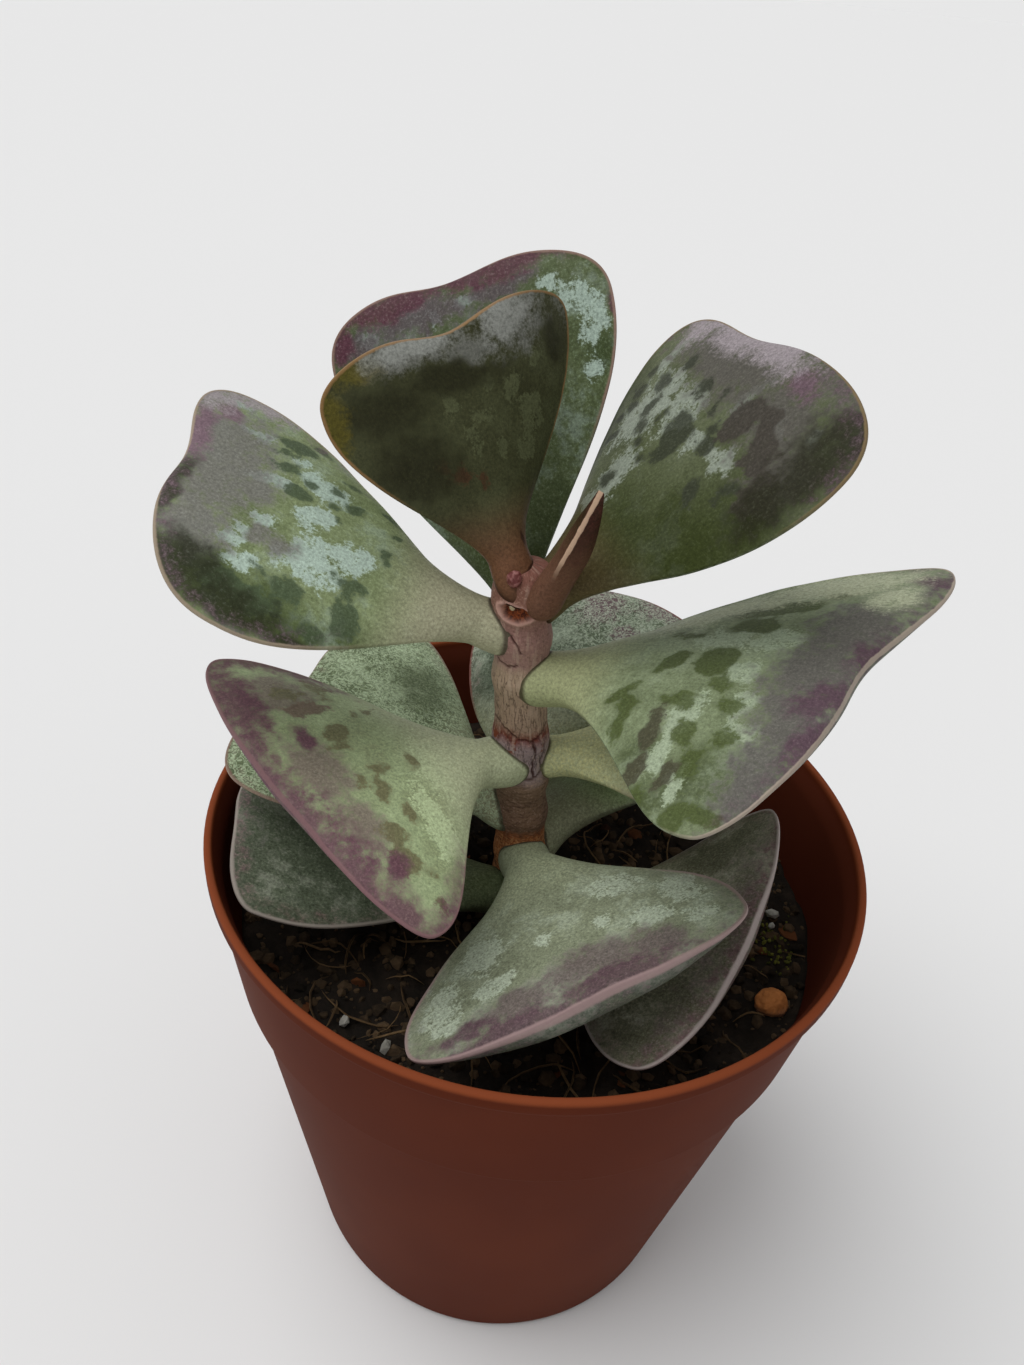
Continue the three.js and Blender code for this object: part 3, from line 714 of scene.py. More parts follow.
LEAVES = {
    "leaf_top_front": {
        "at": 72.7, "back": -0.9, "turn": 145.5, "rise": 56, "roll": -14, "bend": 21, "twist": -5,
        "length": 20, "width": 20, "thick": 3.4, "stalk_width": 3, "widest": 0.76,
        "right_flare": 1.6, "notch_at": 0, "slant": -1, "cup": -0.8,
    },
    "leaf_top_back": {
        "at": 67.8, "back": 1.8, "turn": 117, "rise": 50, "roll": -36, "bend": 2, "twist": 4,
        "sway": 2, "length": 29.2, "width": 23.2, "thick": 3.9, "stalk": 4.4, "stalk_width": 3,
        "widest": 0.77, "left_flare": 1.2, "notch": 1, "cup": 0.6,
    },
    "leaf_upper_left": {
        "at": 68.4, "turn": 187, "rise": 17, "roll": -18, "bend": 13, "twist": 7, "sway": -6,
        "length": 28.5, "width": 23, "stalk": 6.7, "stalk_width": 3.8, "left_corner": 2.9,
        "right_corner": 2.7, "left_flare": 1.2, "right_flare": 1.7, "lopsided": -0.07,
        "notch": 1.3, "notch_at": -0.25, "slant": -2.5,
    },
    "leaf_upper_right": {
        "at": 70.3, "back": 0.3, "turn": 12, "rise": 46, "roll": 12.5, "bend": 7.5, "twist": -2.5,
        "sway": 9, "length": 26.8, "width": 25, "stalk_width": 3.7, "left_corner": 2.8,
        "notch": 1, "notch_at": 0.35, "slant": -0.4,
    },
    "leaf_right": {
        "at": 64.5, "turn": -18.5, "rise": 18.5, "roll": 7, "bend": 8.5, "twist": 2.5,
        "sway": -14.5, "length": 26.9, "width": 29.3, "widest": 0.82, "left_corner": 3.1,
        "right_flare": 1.6, "lopsided": 0.04, "notch": 1.6, "notch_at": 0.2, "slant": 2.4,
        "cup": -0.3,
    },
    "leaf_left": {
        "at": 56.4, "turn": 217.5, "rise": 12.5, "roll": -4.5, "bend": 6, "twist": -8, "sway": 10,
        "length": 22.5, "width": 27.8, "stalk": 7.3, "stalk_width": 4.1, "widest": 0.75,
        "left_corner": 2.15, "left_flare": 1.6, "right_flare": 1.3, "notch": 0.3,
        "notch_at": 0.25, "slant": -1.4,
    },
    "leaf_front": {
        "at": 46.3, "back": -0.4, "turn": 290, "rise": 15.5, "roll": 18, "bend": 13, "twist": 5.5,
        "sway": -5.5, "length": 24.7, "width": 25.8, "thick": 5, "belly": 0.6, "stalk": 5.9,
        "stalk_width": 4.1, "left_corner": 3.3, "right_corner": 3.1, "left_flare": 1.15,
        "notch": 0.2,
    },
    "leaf_low_left": {
        "at": 42.5, "back": -1.8, "turn": 198.5, "rise": 16, "roll": 8.5, "bend": 14,
        "twist": -11, "sway": -22.5, "length": 26.3, "width": 24.3, "stalk": 3.8,
        "stalk_width": 3.9, "widest": 0.86, "left_corner": 2.15, "left_flare": 1.45,
        "right_flare": 1.3, "lopsided": -0.16, "notch": 0.4, "notch_at": 0.35, "slant": -2.5,
        "cup": -0.4,
    },
    "leaf_low_right": {
        "at": 42.4, "back": 0.2, "turn": 327.5, "rise": 6.5, "roll": 5.5, "bend": 33, "twist": 11,
        "sway": 2.5, "length": 23.7, "width": 26.2, "belly": 0.35, "stalk": 9,
        "stalk_width": 3.7, "left_corner": 2.3, "left_flare": 1.6, "notch": 0, "cup": 1,
    },
    "leaf_back_left": {
        "at": 50.4, "back": -0.2, "turn": 164.5, "rise": 17.5, "roll": -3, "bend": 0,
        "sway": -2.5, "length": 23.6, "stalk": 5.7, "stalk_width": 4, "notch": 1.5, "slant": 0.5,
    },
    "leaf_back": {
        "at": 53.9, "back": 0.1, "turn": 78.5, "rise": 13.5, "roll": -18.5, "bend": 5,
        "twist": 7.5, "sway": -3.5, "length": 24.6, "width": 23.9, "stalk": 4.4,
        "stalk_width": 4, "widest": 0.7, "right_corner": 2.4, "left_flare": 0.75,
        "right_flare": 1.5, "lopsided": -0.05, "notch": 0.8, "slant": 2.6, "cup": -0.7,
    },
    "leaf_back_right": {
        "at": 55.9, "back": 0.7, "turn": -1, "rise": 15, "roll": -2, "bend": 8, "length": 20.3,
        "width": 19, "stalk": 5.7, "stalk_width": 3.4, "notch": 1.5, "slant": 0.7,
    },
    "leaf_low_back": {
        "at": 45.6, "turn": 57, "rise": 13.5, "roll": -22, "bend": 2, "twist": -4.5, "sway": -8.5,
        "length": 23.3, "width": 21.1, "stalk": 5.3, "right_flare": 1.9, "lopsided": -0.16,
        "notch": 1.5, "slant": 0.5,
    },
}
LEAF_AROUND = 136
LEAF_FLANK_RINGS = 80
LEAF_END_RINGS = 50
BEAD_HEIGHT = 0.1
BEAD_WIDTH = 0.24
EDGE_STEEPNESS = 0.8
EDGE_WAVE = 0.16
EDGE_WAVE_RATE = 0.22
SWELLS = 0.13
SWELL_RATE = 0.17
RIPPLES = 0.03
RIPPLE_RATE = 0.6
FOOT_REACH = 1.3
FOOT_BLENDS = 3


def end_turn(ring):
    return np.clip(ring - LEAF_FLANK_RINGS - 1, 0, None) / (LEAF_END_RINGS - 1) * math.pi / 2


def flank(form, ring, reach, corner, flare):
    """How far along and how far out one flank of the blade runs at each ring."""
    stalk, length = form["stalk"], form["length"]
    widest = stalk + (length - stalk) * form["widest"]
    along = widest * (ring - 1) / LEAF_FLANK_RINGS
    opens = FLANKS_OPEN * stalk
    opened = np.clip((along - opens) / (widest - opens), 0, 1)
    half = form["stalk_width"] / 2
    out = half + (reach - half) * np.sin(opened * math.pi / 2) ** flare
    turn = end_turn(ring)
    on_end = ring > LEAF_FLANK_RINGS
    along = np.where(on_end, widest + (length - widest) * np.sin(turn) ** (2 / corner), along)
    out = np.where(on_end, reach * np.clip(np.cos(turn), 0, 1) ** (2 / corner), out)
    return along, out


def comes_in(form, along, stalk_share, length_share):
    start = stalk_share * form["stalk"]
    return smooth_step(along, start, start + length_share * form["length"])


def half_thickness(form, ring, along, foot):
    stalk_half = form["stalk_width"] / 2 * STALK_FLATNESS * foot
    swelling = smooth_step(along, 0, THICKEST * form["length"])
    swelled = stalk_half + (form["thick"] / 2 - stalk_half) * swelling
    late = np.clip((along / form["length"] - THINS_FROM) / (1 - THINS_FROM), 0, 1)
    return swelled * (1 - END_THINNING * late**2) * np.clip(np.cos(end_turn(ring)), 0, 1) ** END_BLUNTNESS


def flat_blade(form, ring, angle):
    """The blade before it bends: every ring and angle as a point, along, across and up."""
    across, up = np.cos(angle), np.sin(angle)
    left_reach = form["width"] / 2 * (1 + form["lopsided"])
    right_reach = form["width"] / 2 * (1 - form["lopsided"])
    left_along, left_out = flank(form, ring, left_reach, form["left_corner"], form["left_flare"])
    right_along, right_out = flank(form, ring, right_reach, form["right_corner"], form["right_flare"])
    along = (left_along + right_along) / 2
    foot = 1 + FOOT_SWELL * np.exp(-(((along - form["stalk_width"] / 2) / FOOT_LENGTH) ** 2))
    short_of_dome = 1 - np.clip((along + 0.05) / (form["stalk_width"] / 2), 0, 1)
    foot = foot * np.sqrt(1 - short_of_dome**2)
    y = np.where(across >= 0, left_out, right_out) * across * foot
    share = y / np.where(across >= 0, left_reach, right_reach)
    dip = form["notch"] * np.exp(-(((share - form["notch_at"]) / NOTCH_WIDTH) ** 2))
    opened = smooth_step(along, form["stalk"], form["length"])
    side = smooth_step(across, -1, 1)
    x = right_along + (left_along - right_along) * side + opened * (form["slant"] * share - dip)
    x -= FOOT_REACH * (1 - smooth_step(along, 0, FOOT_BLENDS))
    lens = 1 + EDGE_SHARPNESS * comes_in(form, along, 0.3, 0.35)
    fuller = form["belly"] * comes_in(form, along, 0.5, 0.4)
    face = np.where(up > 0, 1 - fuller, -1 - fuller)
    rim = form["cup"] * share**2 * comes_in(form, along, 0.5, 0.6)
    z = half_thickness(form, ring, along, foot) * np.abs(up) ** lens * face + rim
    return np.stack([x, y, z], axis=1), along, up


def edge_distance(points, outline):
    """How far each point lies from the blade's outline, seen flat."""
    start, end = outline[:-1], outline[1:]
    run = end - start
    run_squared = np.maximum((run**2).sum(1), 1e-12)
    nearest = np.full(len(points), 1e9)
    for first, step, squared in zip(start, run, run_squared):
        share = np.clip(((points - first) @ step) / squared, 0, 1)
        away = points - first - share[:, None] * step
        nearest = np.minimum(nearest, (away**2).sum(1))
    return np.sqrt(nearest)


def along_arc(degrees, length, along, offset):
    """Bends a straight run of a length into an arc, carrying what stands off it."""
    if not degrees:
        return along, offset
    rate = math.radians(degrees) / length
    angle = along * rate
    return np.sin(angle) / rate - offset * np.sin(angle), (1 - np.cos(angle)) / rate + offset * np.cos(angle)


def turned(first, second, angle):
    return first * np.cos(angle) - second * np.sin(angle), first * np.sin(angle) + second * np.cos(angle)


def posed(form, flat):
    """The bent and twisted blade, on its stalk, in its place on the stem."""
    x, y, z = flat.T
    length = form["length"]
    y, z = turned(y, z, math.radians(form["twist"]) * np.clip(x / length, 0, 1.2))
    x, z = along_arc(form["bend"], length, x, z)
    x, y = along_arc(form["sway"], length, x, y)
    y, z = turned(y, z, math.radians(form["roll"]))
    x, z = turned(x, z, math.radians(form["rise"]))
    x, y = turned(x, y, math.radians(form["turn"]))
    return np.stack([x + stem_x(form["at"]) + form["aside"], y + form["back"], z + form["at"]], axis=1)


def noise_at(points, scale, offset):
    """Soft noise, from about -1 to 1, at points in millimetres."""
    return np.array([noise.noise(Vector(point) * scale + Vector((offset, 0, 0))) for point in points])


def leaf_mesh(form, seed, around):
    """One leaf: a ball whose rings and meridians are drawn out into the blade and its stalk."""
    rings = LEAF_FLANK_RINGS + LEAF_END_RINGS
    shape = bmesh.new()
    bmesh.ops.create_uvsphere(shape, u_segments=around, v_segments=rings, radius=1)
    ball = np.array([vert.co for vert in shape.verts])
    ring = np.rint(np.arccos(np.clip(ball[:, 2], -1, 1)) / math.pi * rings)
    angle = np.arctan2(ball[:, 1], -ball[:, 0])
    flat, along, up = flat_blade(form, np.maximum(ring, 1), angle)
    flat[ring == 0] = (-FOOT_REACH, 0, 0)
    level = np.abs(up) < 1e-5
    on_left = level & (ring > 0) & (ball[:, 0] <= 0)
    on_right = level & (ring > 0) & (ball[:, 0] > 0)
    left = flat[on_left][np.argsort(ring[on_left])][:, :2]
    right = flat[on_right][np.argsort(-ring[on_right])][:, :2]
    edge = edge_distance(flat[:, :2], np.concatenate([left, right]))
    cup_rise = form["cup"] * (2 * flat[:, 1] / form["width"]) ** 2 * comes_in(form, along, 0.5, 0.6)
    edge = np.hypot(edge, EDGE_STEEPNESS * (flat[:, 2] - cup_rise))
    opened = smooth_step(along, 0.7 * form["stalk"], 1.6 * form["stalk"])
    side = np.where(level, 0, np.sign(up))
    bead = BEAD_HEIGHT * np.exp(-((edge / BEAD_WIDTH) ** 2))
    swells = SWELLS * noise_at(flat, SWELL_RATE, seed) + RIPPLES * noise_at(flat, RIPPLE_RATE, seed)
    inland = smooth_step(edge, 0.3, 3)
    wave = EDGE_WAVE * noise_at(flat * (1, 1, 0), EDGE_WAVE_RATE, seed + 50) * opened
    shaped = flat.copy()
    shaped[:, 2] += side * (bead + swells * inland) * opened + wave * (1 - inland)
    place = posed(form, shaped)
    for vert, point in zip(shape.verts, place):
        vert.co = Vector(point) * MM
    bmesh.ops.recalc_face_normals(shape, faces=shape.faces)
    clear = np.hypot(place[:, 0] - stem_x(place[:, 2]), place[:, 1])
    collar = clear - np.array([stem_radius(height) for height in place[:, 2]])
    return shape, flat, up, {"edge": edge, "opened": opened, "collar": collar}


# Of these colours, shade is painted shade, and dark pigment on some leaves. The pale sheen colour is a
# painted highlight. Deep is a darker green, and painted shade where its marks lie.
LEAF_LOOK = {
    "green": "828e6d", "mint": "9ba88d", "deep_and_painted_shade": "616846", "blot": "474d30", "rust": "4a4236",
    "smoke_and_painted_sheen": "68685b", "flush": "6e4a50", "rim": "8f7468", "stalk": "94967a", "shade": "32301f",
    "painted_sheen": "969484", "back": "66705a", "bloom": 0.4, "grain": 0.36, "dots": 0.05,
    "end_smoke": 0.6, "edge_flush": 0.3, "labyrinth": 0.0, "rim_width": 1.0, "rim_from": 0.45,
}
STALK_FADE = 6
SMOKE_FROM = 0.72
FLUSH_REACH = 2.4
CRISP_MARKS = ("blot", "rust")
SOFT_MARKS = ("mint", "deep_and_painted_shade", "smoke_and_painted_sheen", "shade", "flush", "painted_sheen")
NO_BLOT = -3.0
MINT_FADE = (1.5, 0.4)
SOFT_FADE = (1.8, 0.2)
SLOW_WARP = 0.8
SLOW_WARP_RATE = 0.22
QUICK_WARP = 0.55
QUICK_WARP_RATE = 0.8


def leaf_finish(name, look):
    """A waxy leaf skin: green, bloom, blots, smoky end, purple flush, painted shade and sheen, pale rim and
    fine pores.
    """
    finish = Finish(name, roughness=0.5, specular=0.12)
    place = finish.vector("leaf_place")
    marks = {kind: finish.value(kind) for kind in CRISP_MARKS + SOFT_MARKS}
    patch = finish.noise(place, 0.25, detail=3, roughness=0.55)
    mottle = finish.noise(place, 1.1, detail=5, roughness=0.65)
    grain = finish.noise(place, 4.6, detail=4, roughness=0.75)
    drift = finish.sum(finish.times(patch, 0.6), finish.times(mottle, 0.4))
    uneven = finish.sum(mottle, -0.5)
    ragged = finish.sum(finish.times(uneven, 2.0), finish.times(finish.sum(grain, -0.5), 1.2))

    def soft(kind, raggedness, low, high, most=0.9):
        """A soft mark with a ragged edge, which ends where its own field does."""
        field = finish.sum(marks[kind], finish.times(ragged, raggedness))
        return finish.times(finish.share(field, low, high, 0, most), finish.share(marks[kind], 0, 0.2))

    finish.tones(finish.value("face"), look["back"], look["green"])
    # Deep green: darker patches at random, and painted shade where its marks lie on the lower sides of
    # leaf_upper_left and leaf_upper_right.
    finish.coat(finish.most(finish.share(drift, 0.52, 0.36, 0, 0.45), marks["deep_and_painted_shade"]), look["deep_and_painted_shade"])
    paler = finish.share(drift, 0.47, 0.62, 0, look["bloom"])
    finish.coat(finish.most(paler, soft("mint", 1.5, 0.3, 0.85, 1)), look["mint"])
    stalk_ends = look["stalk_ends"]
    finish.coat(finish.share(finish.part(place, "X"), stalk_ends, stalk_ends - STALK_FADE), look["stalk"])
    # The smoky end is pigment. On leaf_top_front the same coat is a painted reflection of the sky, slate grey
    # under its top edge.
    finish.coat(soft("smoke_and_painted_sheen", 1, 0.1, 0.9), look["smoke_and_painted_sheen"])
    for kind in CRISP_MARKS:
        finish.coat(finish.share(finish.sum(marks[kind], ragged), -0.22, 0.22, 0, 0.9), look[kind])
    # Of these three coats, shade is painted shade on the lower sides of leaf_upper_left and leaf_upper_right,
    # and dark pigment on leaf_top_front. Flush is purple pigment. The last, pale coat is a painted sheen and
    # highlight on upper parts and top edges.
    for kind in ("shade", "flush", "painted_sheen"):
        finish.coat(soft(kind, 0.8, 0.05, 0.95), look[kind])

    if look["labyrinth"]:
        wrinkles = finish.crossing(finish.noise(place, 1.9, distortion=1.4), 0.11)
        fading = finish.share(marks["deep_and_painted_shade"], 1, 0, 0.2, 1)
        finish.coat(finish.times(wrinkles, look["labyrinth"], fading), look["mint"])
    finish.coat(finish.share(grain, 0.54, 0.66, 0, look["dots"]), look["mint"])
    grained = finish.share(grain, 0.3, 0.7, 1 - look["grain"], 1 + look["grain"], curve="LINEAR")
    finish.colour(finish.mix(1.0, finish.skin, grained, "MULTIPLY"))
    rim = finish.sum(finish.value("edge"), finish.times(uneven, 0.25))
    rim = finish.share(rim, 0.3 * look["rim_width"], 0.1 * look["rim_width"], 0, 0.85)
    finish.coat(finish.times(rim, finish.value("rimmed")), look["rim"])
    finish.coat(finish.share(finish.value("collar"), 0.32, 0.08, 0, 0.8), "2e1711")
    finish.rough(finish.share(mottle, 0.3, 0.7, 0.44, 0.58))
    finish.bump(grain, 0.04)
    finish.bump(mottle, 0.06)
    return finish


def mark_fields(flat, up, marks, seed):
    """The marks on the upper face: warped ovals (along, across, half length, half width, tilt)."""
    warped = flat.copy()
    for axis in (0, 1):
        start = 10 * seed + 3 * axis
        warped[:, axis] += SLOW_WARP * noise_at(flat, SLOW_WARP_RATE, start)
        warped[:, axis] += QUICK_WARP * noise_at(flat, QUICK_WARP_RATE, start + 90)
    fields = {}
    for kind in CRISP_MARKS + SOFT_MARKS:
        outside = NO_BLOT if kind in CRISP_MARKS else 0.0
        field = np.full(len(flat), outside)
        for along, across, half_length, half_width, tilt in marks.get(kind, ()):
            x, y = turned(warped[:, 0] - along, warped[:, 1] - across, math.radians(-tilt))
            far = np.hypot(x / half_length, y / half_width)
            if kind in CRISP_MARKS:
                mark = (1 - far) * math.sqrt(half_length * half_width)
            else:
                mark = smooth_step(far, *(MINT_FADE if kind == "mint" else SOFT_FADE))
            field = np.maximum(field, mark)
        fields[kind] = np.where(up > 0, field, outside)
    return fields, warped[:, 0]


def leaf_piece(name, own_form, own_look, marks, seed, shift=0, around=LEAF_AROUND):
    """One leaf with its skin: its marks, the smoke at its end and the flush along its edge."""
    form = {**LEAF_FORM, **own_form}
    look = {**LEAF_LOOK, "stalk_ends": form["stalk"] + STALK_FADE, **own_look}
    shape, flat, up, values = leaf_mesh(form, seed, around)
    fields, along = mark_fields(flat, up, marks, seed)
    share = np.clip(along / form["length"], 0, 1)
    rimmed = values["opened"] * smooth_step(share, look["rim_from"] - 0.1, look["rim_from"] + 0.15)
    smoky = look["end_smoke"] * smooth_step(share, SMOKE_FROM, 1.0)
    flushed = look["edge_flush"] * smooth_step(values["edge"], FLUSH_REACH, 0.3) * rimmed
    fields["smoke_and_painted_sheen"] = np.maximum(fields["smoke_and_painted_sheen"], smoky)
    fields["flush"] = np.maximum(fields["flush"], flushed)
    piece = piece_of(shape, name + "_blade", leaf_finish(name, look), crease=180)
    give_values(piece, {
        "leaf_place": flat + (0, 0, shift), "face": smooth_step(up, -0.1, 0.1), "rimmed": rimmed,
        **values, **fields,
    })
    return piece


LEAF_LOOKS = {
    # On this leaf the grey smoke and the pale sheen are a painted reflection of the sky under its top edge.
    # Its shade colour is dark pigment.
    "leaf_top_front": {
        "green": "40422a", "mint": "52563b", "deep_and_painted_shade": "31311d", "smoke_and_painted_sheen": "6e6f68", "rim": "8c6c46",
        "stalk": "6e4c36", "stalk_ends": 8, "bloom": 0.45, "end_smoke": 0.35, "shade": "2a2a17",
        "edge_flush": 0.0, "flush": "57501c", "painted_sheen": "8e908a", "back": "4d4a30", "rust": "45301f",
        "rim_width": 0.8,
    },
    "leaf_top_back": {
        "green": "566140", "mint": "9aab9e", "deep_and_painted_shade": "3f4b2b", "smoke_and_painted_sheen": "564c4f", "flush": "552c3a",
        "end_smoke": 0.15, "stalk": "4a5632", "edge_flush": 0.0, "dots": 0.14, "grain": 0.45,
    },
    # On this leaf the shade colour, and the deep green where the marks put it, are painted shade on its lower
    # side. The pale sheen colour is a painted highlight.
    "leaf_upper_left": {
        "green": "88956c", "mint": "b1c4b6", "deep_and_painted_shade": "59663f", "blot": "4c5a41", "smoke_and_painted_sheen": "7b7974",
        "painted_sheen": "a0989a", "flush": "7d6470", "stalk": "a8a68a", "shade": "2c2f1c", "rim": "a0907c",
        "rim_width": 0.8, "bloom": 0.3,
    },
    # On this leaf the shade colour, and the deep green where the marks put it, are painted shade on its lower
    # right side. The pale sheen colour is a painted sheen.
    "leaf_upper_right": {
        "green": "5b6246", "mint": "8b9385", "deep_and_painted_shade": "353d1a", "blot": "34382a", "rust": "3f3a33",
        "smoke_and_painted_sheen": "56524d", "shade": "242412", "painted_sheen": "999094", "flush": "66505b", "stalk": "5e5236",
        "rim": "7d6a4a", "end_smoke": 0.7, "rim_from": 0.7, "rim_width": 0.7, "bloom": 0.08,
    },
    # On this leaf the pale sheen colour is painted light on its upper part, which its curve turns from the
    # light.
    "leaf_right": {
        "end_smoke": 0.55, "smoke_and_painted_sheen": "5f5a58", "flush": "57404c", "blot": "4a552c", "rust": "454232",
        "painted_sheen": "b0b598", "rim": "a89a8c", "rim_from": 0.75, "rim_width": 0.6, "deep_and_painted_shade": "505a3a",
        "stalk": "a0a57c",
    },
    "leaf_left": {
        "green": "9aa87f", "mint": "b4c398", "deep_and_painted_shade": "7e8260", "smoke_and_painted_sheen": "7e7268", "blot": "6e6a4c",
        "rust": "746355", "flush": "64404f", "stalk": "b4ba98", "end_smoke": 0.3, "edge_flush": 0.8,
        "rim": "7e5e60", "rim_from": 0.5, "rim_width": 0.8,
    },
    "leaf_front": {
        "green": "868d74", "deep_and_painted_shade": "686d58", "mint": "aab49f", "stalk": "969d80", "rim": "9a8280",
        "end_smoke": 0.2, "flush": "5a434b", "smoke_and_painted_sheen": "6a5e5c", "back": "565b50", "grain": 0.5,
        "bloom": 0.6, "rim_width": 1.2,
    },
    "leaf_low_left": {
        "green": "5a6250", "mint": "999d8d", "deep_and_painted_shade": "3f4636", "end_smoke": 0.4, "rim": "9a9088",
        "stalk": "6f7a58", "grain": 0.55, "dots": 0.15, "smoke_and_painted_sheen": "625c5a", "rim_from": 0.3,
        "bloom": 0.55,
    },
    "leaf_low_right": {
        "green": "747460", "mint": "b2b29e", "deep_and_painted_shade": "55553f", "grain": 0.55, "dots": 0.15,
        "end_smoke": 0.6, "smoke_and_painted_sheen": "70605f", "rim": "b5a8a4", "rim_from": 0.3, "bloom": 0.6,
    },
    "leaf_back_left": {
        "green": "6f7d5c", "mint": "becfac", "deep_and_painted_shade": "5a6549", "labyrinth": 0.75, "end_smoke": 0.1,
        "grain": 0.4,
    },
    "leaf_back": {
        "green": "647059", "mint": "bcc8b2", "deep_and_painted_shade": "444e3b", "labyrinth": 0.7, "smoke_and_painted_sheen": "6a5258",
        "rim": "7a3a34", "grain": 0.4, "rim_from": 0.3, "end_smoke": 0.2,
    },
    "leaf_back_right": {"green": "9ca07c", "stalk": "c0c08e", "deep_and_painted_shade": "666a44", "labyrinth": 0.4},
    "leaf_low_back": {"green": "8fa672", "mint": "b8cca0", "deep_and_painted_shade": "647448", "dots": 0.15, "grain": 0.45},
}
